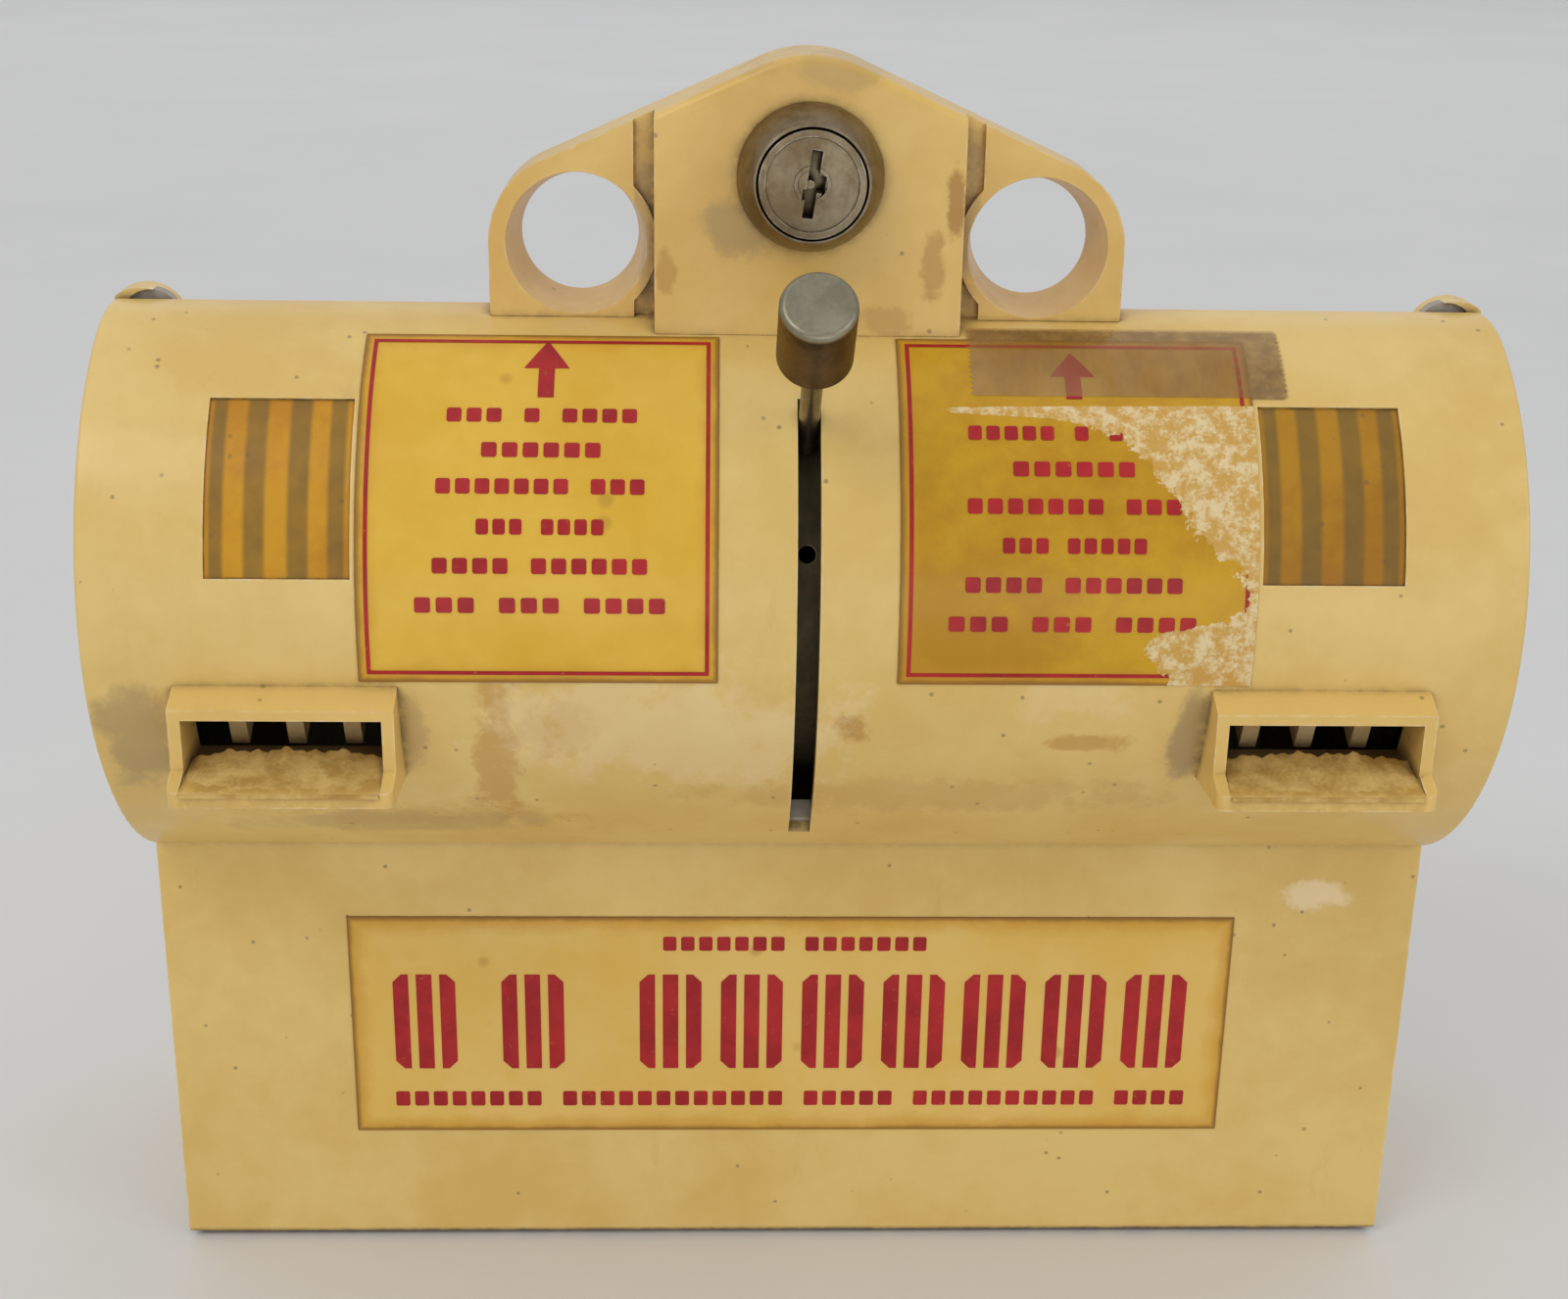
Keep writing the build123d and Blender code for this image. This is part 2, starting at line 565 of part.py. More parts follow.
# ---------------------------------------------------------------- rear case
def case_section(inset):
    """(y, z) corners of the case, inset by its wall except at the open front."""
    top_f, top_b = CASE_TOP_FRONT - inset, CASE_TOP_BACK - inset
    front = CASE_FRONT - (5 if inset else 0)
    slope = (CASE_TOP_FRONT - CASE_TOP_BACK) / (CASE_BACK - CASE_FRONT)
    top_f += slope * (CASE_FRONT - front)
    return [(front, inset), (CASE_BACK - inset, inset), (CASE_BACK - inset, top_b + slope * inset),
            (front, top_f)]


def rear_case():
    case = poly_x(case_section(0), -CASE_HALF, CASE_HALF)
    case -= poly_x(case_section(CASE_WALL), -CASE_HALF + CASE_WALL, CASE_HALF - CASE_WALL)
    ear = block(CASE_HALF - KNUCKLE, CASE_HALF, HINGE_Y, CASE_FRONT + 1, HINGE_Z - KNUCKLE_R,
                HINGE_Z + KNUCKLE_R)
    ear += rod_x(KNUCKLE_R, CASE_HALF - KNUCKLE, CASE_HALF, HINGE_Y, HINGE_Z)
    ear -= rod_x(HINGE_R, 100, 110, HINGE_Y, HINGE_Z)
    cup = rod_y(CUP_R, CASE_FRONT + 0.2, CUP_BACK, CUP_X, CUP_Z)
    cup &= block(0, HALF, 0, 20, 150, 180)
    for s in ("left", "right"):
        case += handed(ear + cup, s)
        case -= handed(rod_y(BUFFER_R, CASE_FRONT, CASE_FRONT + 3.0, BUFFER_X, BUFFER_Z), s)
        notch = block(RING_X - FUNNEL_HALF - 0.9, RING_X + FUNNEL_HALF + 0.9, 0, 22.6, 150, 180)
        case -= handed(notch, s)
        for z in (WALL_HOLE_Z - WALL_HOLE_SPAN / 2, WALL_HOLE_Z + WALL_HOLE_SPAN / 2):
            case -= handed(rod_y(WALL_HOLE_R, 50, 70, WALL_HOLE_X, z), s)
    return case - block(-8, 18, CAM_Y0 - 0.5, CAM_Y1 + 2.6, 150, 180)


def strike_plate():
    """Upright keeper in front of the turned-down cam, standing on the case's top."""
    plate = block(-10, 10, 8.9, 10.3, 160, 176.5)
    return plate - poly_x(case_section(0), -CASE_HALF, CASE_HALF)


def door_buffers():
    buffers = []
    for s in (-1, 1):
        buffers.append(rod_y(BUFFER_R, CASE_FRONT + 0.9, CASE_FRONT + 3.0, s * BUFFER_X, BUFFER_Z))
    return Compound(buffers)


def hinge_pins():
    pin = rod_x(HINGE_R, 99, CASE_HALF, HINGE_Y, HINGE_Z)
    return Compound([pin, mirror(pin, about=Plane.YZ)])


# ---------------------------------------------------------------- all pieces
SINGLE = [front_cover, lock_crest, name_label, slot_bumper, lock_bezel, lock_barrel, lock_nut,
          lock_plug, lock_cam, main_shaft, lever_hub, lever_stem, lever_knob, slot_shield,
          return_spring, tie_rod, shaft_bushes, plate_screws, coin_box, rear_case, strike_plate,
          door_buffers, hinge_pins]
PAIRED = [window_pane, instruction_label, exit_chute, drive_arm, drive_pawl, stamp_guide,
          hold_down, stamp_strip, feed_drum, feed_tyres, ratchet_wheel, press_roller, stamp_roll,
          roll_spindle, roll_bracket, coin_funnel]


def main():
    os.makedirs("parts", exist_ok=True)
    for make in SINGLE:
        write(make.__name__, make())
    for make in PAIRED:
        shape = make()
        for side in ("left", "right"):
            write(f"{make.__name__}_{side}", handed(shape, side))
    for side in ("left", "right"):
        inner = bearing_plate(INNER_PLATE_X, 1)
        outer = bearing_plate(OUTER_PLATE_X, -1)
        write(f"inner_plate_{side}", handed(inner, side))
        write(f"outer_plate_{side}", handed(outer, side))


main()
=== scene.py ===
import json
import math

import bpy
from mathutils import Matrix, Vector


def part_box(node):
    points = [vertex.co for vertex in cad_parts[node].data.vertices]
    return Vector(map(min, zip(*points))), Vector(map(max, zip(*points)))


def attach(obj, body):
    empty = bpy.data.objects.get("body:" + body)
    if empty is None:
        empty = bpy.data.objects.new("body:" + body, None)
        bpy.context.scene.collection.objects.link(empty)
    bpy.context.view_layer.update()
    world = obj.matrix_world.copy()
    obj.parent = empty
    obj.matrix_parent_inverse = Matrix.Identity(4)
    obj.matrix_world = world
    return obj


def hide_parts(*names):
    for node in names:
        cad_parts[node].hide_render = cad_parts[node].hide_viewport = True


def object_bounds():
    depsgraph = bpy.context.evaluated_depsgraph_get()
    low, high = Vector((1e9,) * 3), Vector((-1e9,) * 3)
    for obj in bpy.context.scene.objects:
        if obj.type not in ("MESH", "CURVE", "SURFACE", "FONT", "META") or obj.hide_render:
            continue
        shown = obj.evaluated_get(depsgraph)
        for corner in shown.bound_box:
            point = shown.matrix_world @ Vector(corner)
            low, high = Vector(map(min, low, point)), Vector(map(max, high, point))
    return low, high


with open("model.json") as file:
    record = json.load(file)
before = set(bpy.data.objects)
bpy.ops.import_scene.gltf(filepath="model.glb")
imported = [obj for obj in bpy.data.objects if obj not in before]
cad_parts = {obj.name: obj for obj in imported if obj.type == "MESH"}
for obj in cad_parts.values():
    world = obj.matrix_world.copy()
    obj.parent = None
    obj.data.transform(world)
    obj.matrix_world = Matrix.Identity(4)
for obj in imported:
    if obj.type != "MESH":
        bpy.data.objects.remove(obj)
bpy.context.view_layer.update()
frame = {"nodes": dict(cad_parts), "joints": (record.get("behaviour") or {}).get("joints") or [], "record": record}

MM = 0.001
NODES = frame["nodes"]
SLOT_OF = {s["node"]: s["material_slot"] for s in frame["record"]["subparts"]}
BODY_OF = {n: b for b, names in frame["record"]["behaviour"]["bodies"].items() for n in names}
JOINT_AT = {j["name"]: Vector(j["pos_m"]) for j in frame["joints"]}
AXIS = JOINT_AT["lever_pull"]
DRUM_R = AXIS.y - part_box("front_cover")[0].y
LABEL_TOP_R = DRUM_R + 0.2 * MM  # outer face of the labels on the drum
INK_T = 0.04 * MM
INK_LIFT = 0.07 * MM             # clear of the label's facets
FRONT_INK_LIFT = 0.03 * MM
TAPE_T, TAPE_LIFT = 0.04 * MM, 0.1 * MM
CHUTE_X = sum(corner.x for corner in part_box("exit_chute_right")) / 2
MERGE = 1e-6                     # points closer than this are one


def clear_selection():
    bpy.ops.object.select_all(action="DESELECT")


def pick(piece):
    clear_selection()
    piece.select_set(True)
    bpy.context.view_layer.objects.active = piece


# ---------------------------------------------------------------- camera, floor and light
CAMERA_AT = Vector((-0.0148, -0.3811, 0.24231))
PITCH, YAW, ROLL = 20.182, 2.029, 1.004
LENS, SENSOR = 51.75, 36.0
OBJECT_MIDDLE = (0, 0, 0.1)
# name, place, target, size, power in watts and colour
LIGHTS = (
    ("key", (-0.55, -0.65, 1.0), OBJECT_MIDDLE, (0.6, 0.45), 2.6, (1.0, 0.99, 0.97)),
    ("fill", (0.8, -0.6, 0.65), OBJECT_MIDDLE, (0.7, 0.6), 1.3, (0.98, 0.99, 1.0)),
    ("top", (0.0, 0.1, 1.2), OBJECT_MIDDLE, (1.4, 0.9), 1.4, (1.0, 1.0, 1.0)),
    ("low", (0.1, -1.0, 0.12), OBJECT_MIDDLE, (0.9, 0.25), 1.0, (1.0, 1.0, 1.0)),
    ("back", (0.0, 2.3, 1.2), (0, 2.3, 0), (4.0, 2.4), 9.0, (1.0, 1.0, 1.0)))
SKY_COLOUR, SKY_STRENGTH = (0.98, 0.985, 1.0, 1.0), 0.56


def make_camera():
    data = bpy.data.cameras.new("camera")
    data.lens = LENS
    data.sensor_width = SENSOR
    data.sensor_fit = "HORIZONTAL"
    data.clip_start = 0.01
    camera = bpy.data.objects.new("camera", data)
    bpy.context.scene.collection.objects.link(camera)
    turn = (Matrix.Rotation(math.radians(-YAW), 4, "Z")
            @ Matrix.Rotation(math.radians(90 - PITCH), 4, "X")
            @ Matrix.Rotation(math.radians(ROLL), 4, "Z"))
    camera.matrix_world = Matrix.Translation(CAMERA_AT) @ turn
    bpy.context.scene.camera = camera


def area_light(name, place, target, size, power, colour):
    data = bpy.data.lights.new(name, "AREA")
    data.shape = "RECTANGLE"
    data.size, data.size_y = size
    data.energy = power
    data.color = colour
    lamp = bpy.data.objects.new(name, data)
    bpy.context.scene.collection.objects.link(lamp)
    lamp.location = place
    aim = Vector(target) - Vector(place)
    lamp.rotation_euler = aim.to_track_quat("-Z", "Y").to_euler()


def make_lights():
    for settings in LIGHTS:
        area_light(*settings)
    world = bpy.data.worlds.new("studio")
    world.use_nodes = True
    background = world.node_tree.nodes["Background"]
    background.inputs["Color"].default_value = SKY_COLOUR
    background.inputs["Strength"].default_value = SKY_STRENGTH
    bpy.context.scene.world = world
    bpy.context.scene.view_settings.view_transform = "Standard"


# ---------------------------------------------------------------- node helpers
def add(tree, kind, settings=(), **inputs):
    """A shader node with its settings and inputs: a socket is linked, a value is set."""
    made = tree.nodes.new("ShaderNode" + kind)
    for key, value in dict(settings).items():
        setattr(made, key, value)
    for key, value in inputs.items():
        feed(tree, made.inputs[key.replace("_", " ")], value)
    return made


def feed(tree, socket, value):
    if isinstance(value, bpy.types.NodeSocket):
        tree.links.new(value, socket)
    else:
        socket.default_value = value


def calc(tree, operation, first, second=0.0, clamp=False):
    made = add(tree, "Math", {"operation": operation, "use_clamp": clamp})
    feed(tree, made.inputs[0], first)
    feed(tree, made.inputs[1], second)
    return made.outputs[0]


def ramp(tree, value, low, high):
    """0 below low and 1 above high, with a smooth step between; low may be the larger."""
    made = add(tree, "MapRange", {"interpolation_type": "SMOOTHSTEP"})
    for key, setting in (("Value", value), ("From Min", low), ("From Max", high)):
        feed(tree, made.inputs[key], setting)
    return made.outputs["Result"]


def blend(tree, share, first, second):
    made = add(tree, "Mix", {"data_type": "RGBA"})
    for index, value in ((0, share), (6, first), (7, second)):
        if isinstance(value, tuple) and len(value) == 3:
            value = (*value, 1.0)
        feed(tree, made.inputs[index], value)
    return made.outputs[2]


def times(tree, first, second, clamp=False):
    return calc(tree, "MULTIPLY", first, second, clamp)


def plus(tree, base, value, share):
    """base + value x share."""
    return calc(tree, "ADD", base, times(tree, value, share))


def tinted(tree, colour, tint, mask, share):
    """The colour moved towards a tint where the mask is, by a share at most."""
    return blend(tree, times(tree, mask, share), colour, tint)


def noise(tree, vector, scale, detail=4.0, rough=0.55):
    made = add(tree, "TexNoise", Vector=vector, Scale=scale, Detail=detail, Roughness=rough)
    return made.outputs["Fac"]


def place(tree):
    return add(tree, "TexCoord").outputs["Object"]


def stretched(tree, scale):
    """Object coordinates scaled along each axis, for grain that runs one way."""
    return add(tree, "Mapping", Vector=place(tree), Scale=scale).outputs["Vector"]


def axis_values(tree):
    """Object X, Y and Z as separate values."""
    return add(tree, "SeparateXYZ", Vector=place(tree)).outputs


def vector_math(tree, operation, first, second=None):
    made = add(tree, "VectorMath", {"operation": operation})
    feed(tree, made.inputs[0], first)
    if second is not None:
        feed(tree, made.inputs[1], second)
    return made.outputs


def start_group(name, inputs, outputs):
    """A shader node group with (name, kind, value) inputs and (name, kind) outputs."""
    group = bpy.data.node_groups.new(name, "ShaderNodeTree")
    for label, kind, value in inputs:
        socket = group.interface.new_socket(label, in_out="INPUT", socket_type="NodeSocket" + kind)
        socket.default_value = value
    for label, kind in outputs:
        group.interface.new_socket(label, in_out="OUTPUT", socket_type="NodeSocket" + kind)
    source = group.nodes.new("NodeGroupInput")
    sink = group.nodes.new("NodeGroupOutput")
    return group, source.outputs, sink.inputs


def use(tree, group, **inputs):
    made = tree.nodes.new("ShaderNodeGroup")
    made.node_tree = group
    for key, value in inputs.items():
        feed(tree, made.inputs[key.replace("_", " ")], value)
    return made.outputs


# ---------------------------------------------------------------- shared effects
def mottle_group():
    """Uneven colour: broad patches with finer clouds in them."""
    group, given, result = start_group(
        "mottle",
        [("Scale", "Float", 30.0), ("Pale", "Color", (1, 1, 1, 1)),
         ("Deep", "Color", (0, 0, 0, 1))],
        [("Color", "Color"), ("Cloud", "Float")])
    at = place(group)
    broad = noise(group, at, given["Scale"], 3.0)
    fine = noise(group, at, times(group, given["Scale"], 7.0), 5.0, 0.65)
    cloud = plus(group, times(group, broad, 0.7), fine, 0.3)
    cloud = ramp(group, cloud, 0.36, 0.64)
    feed(group, result["Color"], blend(group, cloud, given["Deep"], given["Pale"]))
    feed(group, result["Cloud"], cloud)
    return group


def shade_and_grime_group():
    """Painted shade where surfaces meet, found by ambient occlusion, with dirt gathered there, broken up by noise.
    """
    group, given, result = start_group(
        "corner_shade_and_grime", [("Reach", "Float", 0.004), ("Amount", "Float", 1.0)], [("Mask", "Float")])
    corner = add(group, "AmbientOcclusion", {"samples": 8}, Distance=given["Reach"]).outputs["AO"]
    closed = ramp(group, corner, 0.86, 0.42)
    broken = ramp(group, noise(group, place(group), 420.0, 5.0, 0.7), 0.30, 0.62)
    mask = times(group, closed, calc(group, "ADD", times(group, broken, 0.7), 0.3))
    feed(group, result["Mask"], times(group, mask, given["Amount"], True))
    return group


def wear_group():
    """Rubbed outer edges, found where a rounded normal leaves the true one."""
    group, given, result = start_group(
        "edge_wear", [("Radius", "Float", 0.0005), ("Amount", "Float", 1.0)], [("Mask", "Float")])
    rounded = add(group, "Bevel", {"samples": 6}, Radius=given["Radius"]).outputs["Normal"]
    true = add(group, "NewGeometry").outputs["Normal"]
    facing = vector_math(group, "DOT_PRODUCT", rounded, true)["Value"]
    bent = ramp(group, facing, 0.995, 0.90)
    corner = add(group, "AmbientOcclusion", {"samples": 6}, Distance=2 * MM).outputs["AO"]
    open_side = ramp(group, corner, 0.80, 0.95)
    chips = ramp(group, noise(group, place(group), 330.0, 4.0, 0.7), 0.42, 0.66)
    mask = times(group, times(group, bent, open_side), chips)
    feed(group, result["Mask"], times(group, mask, given["Amount"], True))
    return group


def specks_group():
    """Small scattered dots of dirt."""
    group, given, result = start_group(
        "specks", [("Scale", "Float", 300.0), ("Share", "Float", 0.2)], [("Mask", "Float")])
    cells = add(group, "TexVoronoi", Vector=place(group), Scale=given["Scale"], Randomness=1.0)
    dot = ramp(group, cells.outputs["Distance"], 0.22, 0.08)
    pickout = add(group, "SeparateColor", Color=cells.outputs["Color"]).outputs["Red"]
    chosen = calc(group, "LESS_THAN", pickout, given["Share"])
    feed(group, result["Mask"], times(group, dot, chosen))
    return group


def stain_and_painted_light_group():
    """One ragged patch round a centre."""
    group, given, result = start_group(
        "stain_and_painted_light", [("Centre", "Vector", (0, 0, 0)), ("Size", "Vector", (0.01, 0.01, 0.01)),
                  ("Ragged", "Float", 0.6), ("Grain", "Float", 160.0)], [("Mask", "Float")])
    at = place(group)
    offset = vector_math(group, "SUBTRACT", at, given["Centre"])["Vector"]
    share = vector_math(group, "DIVIDE", offset, given["Size"])["Vector"]
    reach = vector_math(group, "LENGTH", share)["Value"]
    rough = calc(group, "SUBTRACT", noise(group, at, given["Grain"], 5.0, 0.7), 0.5)
    edge = calc(group, "ADD", reach, times(group, times(group, rough, given["Ragged"]), 4.0))
    feed(group, result["Mask"], ramp(group, edge, 1.1, 0.55))
    return group


def drum_map_group():
    """Place on the drum: X, the arc length up from straight ahead, and the angle in degrees."""
    group, _, result = start_group(
        "drum_map", [], [("Across", "Float"), ("Along", "Float"), ("Angle", "Float")])
    parts = axis_values(group)
    ahead = calc(group, "SUBTRACT", AXIS.y, parts["Y"])
    up = calc(group, "SUBTRACT", parts["Z"], AXIS.z)
    angle = calc(group, "ARCTAN2", up, ahead)
    feed(group, result["Across"], parts["X"])
    feed(group, result["Along"], times(group, angle, DRUM_R))
    feed(group, result["Angle"], calc(group, "DEGREES", angle))
    return group


def border_group():
    """Nearness to the edge of a rectangle, 1 at the edge and 0 a reach inside, made uneven."""
    group, given, result = start_group(
        "near_border", [("Across", "Float", 0.0), ("Along", "Float", 0.0), ("Left", "Float", 0.0),
                        ("Right", "Float", 1.0), ("Low", "Float", 0.0), ("High", "Float", 1.0),
                        ("Reach", "Float", 0.003)], [("Mask", "Float")])
    gaps = [calc(group, "SUBTRACT", given["Across"], given["Left"]),
            calc(group, "SUBTRACT", given["Right"], given["Across"]),
            calc(group, "SUBTRACT", given["Along"], given["Low"]),
            calc(group, "SUBTRACT", given["High"], given["Along"])]
    nearest = gaps[0]
    for gap in gaps[1:]:
        nearest = calc(group, "MINIMUM", nearest, gap)
    uneven = times(group, noise(group, place(group), 120.0, 5.0, 0.65), 2.0)
    share = calc(group, "DIVIDE", nearest, times(group, given["Reach"], uneven))
    feed(group, result["Mask"], ramp(group, share, 1.0, 0.0))
    return group


# the peeled face's edge: angle on the drum in degrees, and X in millimetres
TORN_EDGE = ((-12, 56), (-8, 56), (-3, 51), (2, 52), (6, 64), (14, 64), (19, 59), (27, 55),
             (34, 50), (40, 45), (43, 38), (45, 20), (46.5, 80), (68, 80))
TORN_FROM, TORN_SPAN = 12.0, 80.0


def torn_group():
    """Where the right-hand label's face has peeled away: 1 on the bare residue."""
    group, _, result = start_group("torn_face", [], [("Mask", "Float")])
    spot = use(group, DRUM_MAP)
    across = calc(group, "DIVIDE", spot["Across"], MM)
    turn = calc(group, "DIVIDE", calc(group, "ADD", spot["Angle"], TORN_FROM), TORN_SPAN, True)
    edge = add(group, "FloatCurve", Value=turn)
    points = edge.mapping.curves[0].points
    for index, (angle, x) in enumerate(TORN_EDGE):
        at = ((angle + TORN_FROM) / TORN_SPAN, x / TORN_SPAN)
        if index < 2:
            points[index].location = at
        else:
            points.new(*at)
    edge.mapping.update()
    limit = times(group, edge.outputs[0], TORN_SPAN)
    coarse = calc(group, "SUBTRACT", noise(group, place(group), 210.0, 6.0, 0.75), 0.5)
    gap = plus(group, calc(group, "SUBTRACT", across, limit), coarse, 14.0)
    feed(group, result["Mask"], ramp(group, gap, -0.15, 0.15))
    return group


MOTTLE, SHADE_AND_GRIME, WEAR, SPECKS = mottle_group(), shade_and_grime_group(), wear_group(), specks_group()
STAIN_AND_PAINTED_LIGHT, DRUM_MAP, BORDER = stain_and_painted_light_group(), drum_map_group(), border_group()
TORN = torn_group()


# ---------------------------------------------------------------- materials
def start_material(name, **plain):
    """A material with one Principled shader, with its plain values set on its own sockets."""
    material = bpy.data.materials.new(name)
    material.use_nodes = True
    tree = material.node_tree
    tree.nodes.clear()
    shader = add(tree, "BsdfPrincipled")
    out = add(tree, "OutputMaterial")
    tree.links.new(shader.outputs[0], out.inputs["Surface"])
    for key, value in plain.items():
        shader.inputs[key.replace("_", " ")].default_value = value
    return material, tree, shader.inputs


def bump(tree, height, strength, distance):
    made = add(tree, "Bump", Height=height, Strength=strength, Distance=distance)
    return made.outputs["Normal"]


CREAM_PALE, CREAM_DEEP = (0.80, 0.57, 0.195), (0.72, 0.48, 0.135)
CREST_PALE, CREST_DEEP = (0.79, 0.53, 0.155), (0.70, 0.43, 0.10)
# the dark brown below colours dirt specks, and in corners it is painted shade mixed with dirt; the metal and
# window corner colours below are painted shade with dirt too
OCHRE, DIRT_AND_SHADE, RUBBED = (0.50, 0.25, 0.04), (0.16, 0.10, 0.045), (0.88, 0.76, 0.54)
DUST_OCHRE, RUBBLE = (0.56, 0.34, 0.085), (0.20, 0.14, 0.07)
TARNISH, BRIGHT_EDGE, METAL_DIRT_AND_SHADE = (0.12, 0.07, 0.03), (0.75, 0.72, 0.66), (0.05, 0.035, 0.02)
LABEL_EDGE, LABEL_RIM, LABEL_SPOT = (0.62, 0.30, 0.02), (0.22, 0.10, 0.02), (0.45, 0.22, 0.03)
WINDOW_BAR, WINDOW_DIRT_AND_SHADE = (0.15, 0.10, 0.025), (0.07, 0.045, 0.015)
# ragged patches: tint, each patch's (centre, size) in millimetres and strength, and the grain
COVER_STAINS_AND_HIGHLIGHT = (
    (OCHRE, (((-47, -63, 105), (3.5, 14, 24), 0.55), ((-38, -64, 112), (7, 14, 6), 0.35),
             ((7, -63, 112), (3, 10, 3), 0.8), ((44, -62, 110), (7, 12, 2), 0.6),
             ((20, -60, 98), (40, 16, 5), 0.30), ((-60, -60, 92), (30, 16, 5), 0.30)), 170.0),
    ((0.34, 0.24, 0.12),
     (((-102, -50, 112), (7, 26, 13), 0.55), ((59, -62, 112), (3.5, 16, 10), 0.7),
      ((-62, -60, 90), (34, 20, 4), 0.35), ((-60, -62, 112), (3, 14, 8), 0.4)), 90.0),
    ((0.90, 0.72, 0.42),
     (((-20, -64, 112), (30, 16, 12), 0.35), ((91, -32, 69), (7, 5, 3), 0.8),
      # the upright pale patch at x 106 is a painted highlight: the glossy streak down the cover's right end
      ((106, -45, 135), (4, 20, 12), 0.5), ((40, -66, 124), (12, 20, 10), 0.25)), 130.0))
# the thin upright patches at x 19 to 25 and -21.5 to -25 are painted shade on the side walls of the crest's middle
# block; the thin strips at z 169 darken the foot of each ear
CREST_STAINS_AND_SHADE = (
    ((0.42, 0.20, 0.03),
     (((22, -40, 188), (1.6, 6, 6), 0.85), ((19, -40, 179), (2.2, 6, 6), 0.55),
      ((12, -40, 171), (5, 6, 2.5), 0.45), ((-21.5, -40, 178), (1.6, 6, 4), 0.5),
      ((30, -36, 169), (8, 8, 1.5), 0.6), ((-32, -36, 169), (9, 8, 1.2), 0.5)), 210.0),
    ((0.33, 0.23, 0.10),
     (((-10, -40, 184), (7, 8, 5), 0.5), ((25, -35, 186), (2, 6, 14), 0.5),
      ((-25, -35, 184), (1.6, 6, 14), 0.5), ((4, -30, 208), (14, 30, 3), 0.3)), 120.0))


def patches(tree, colour, tint, spots, grain):
    """The colour with one group of ragged patches laid over it: stains, and in places painted shade and painted
    highlight.
    """
    for centre, size, strength in spots:
        stain_and_painted_light = use(tree, STAIN_AND_PAINTED_LIGHT, Centre=Vector(centre) * MM, Size=Vector(size) * MM, Grain=grain)
        colour = tinted(tree, colour, tint, stain_and_painted_light["Mask"], strength)
    return colour


def mottled(tree, scale, pale, deep):
    return use(tree, MOTTLE, Scale=scale, Pale=(*pale, 1), Deep=(*deep, 1))


def speckled(tree, colour, tint, scale, share, strength):
    dots = use(tree, SPECKS, Scale=scale, Share=share)["Mask"]
    return tinted(tree, colour, tint, dots, strength)


def rubbed(tree, colour, tint, radius, amount):
    return blend(tree, use(tree, WEAR, Radius=radius, Amount=amount)["Mask"], colour, tint)


def dusty_floor(tree, colour, middle):
    """Ochre dust on a chute's floor, with grey rubble further in."""
    parts = axis_values(tree)
    aside = calc(tree, "ABSOLUTE", calc(tree, "SUBTRACT", parts["X"], middle))
    between = ramp(tree, aside, 15.2 * MM, 14.4 * MM)
    inside = times(tree, between, ramp(tree, parts["Z"], 110.5 * MM, 108.0 * MM))
    floor = times(tree, inside, ramp(tree, parts["Y"], -76.0 * MM, -73.0 * MM))
    ragged = ramp(tree, noise(tree, place(tree), 300.0, 6.0, 0.7), 0.36, 0.56)
    colour = blend(tree, times(tree, floor, ragged), colour, DUST_OCHRE)
    deep_in = times(tree, inside, ramp(tree, parts["Y"], -69.0 * MM, -65.0 * MM))
    return blend(tree, deep_in, colour, RUBBLE)


def cover_plastic(name, pale, deep, spots=(), dust=None):
    """Aged moulding; spots are (tint, patches, grain), dust the middle X of a dusty chute."""
    material, tree, shader = start_material(
        name, Coat_Roughness=0.14, IOR=1.5, Specular_IOR_Level=0.4)
    colour = mottled(tree, 26.0, pale, deep)["Color"]
    for tint, where, grain in spots:
        colour = patches(tree, colour, tint, where, grain)
    if dust is not None:
        colour = dusty_floor(tree, colour, dust)
    smear = ramp(tree, noise(tree, stretched(tree, (1.0, 1.0, 0.35)), 95.0, 6.0, 0.7), 0.60, 0.74)
    colour = tinted(tree, colour, OCHRE, smear, 0.22)
    colour = speckled(tree, colour, DIRT_AND_SHADE, 430.0, 0.07, 0.6)
    colour = rubbed(tree, colour, RUBBED, 0.5 * MM, 0.75)
    # painted shade in the corners, from ambient occlusion, mixed with dirt
    shade_and_dirt = use(tree, SHADE_AND_GRIME, Reach=3.2 * MM, Amount=0.85)["Mask"]
    feed(tree, shader["Base Color"], blend(tree, shade_and_dirt, colour, DIRT_AND_SHADE))
    scuffs = noise(tree, stretched(tree, (0.3, 1.0, 1.0)), 260.0, 6.0, 0.7)
    rough = plus(tree, 0.36, ramp(tree, scuffs, 0.45, 0.75), 0.16)
    feed(tree, shader["Roughness"], plus(tree, rough, shade_and_dirt, 0.35))
    feed(tree, shader["Coat Weight"], times(tree, calc(tree, "SUBTRACT", 1.0, shade_and_dirt), 0.16))
    waves, pores = noise(tree, place(tree), 240.0, 3.0), noise(tree, place(tree), 1500.0, 2.0)
    feed(tree, shader["Normal"], bump(tree, plus(tree, waves, pores, 0.25), 0.10, 0.10 * MM))
    return material


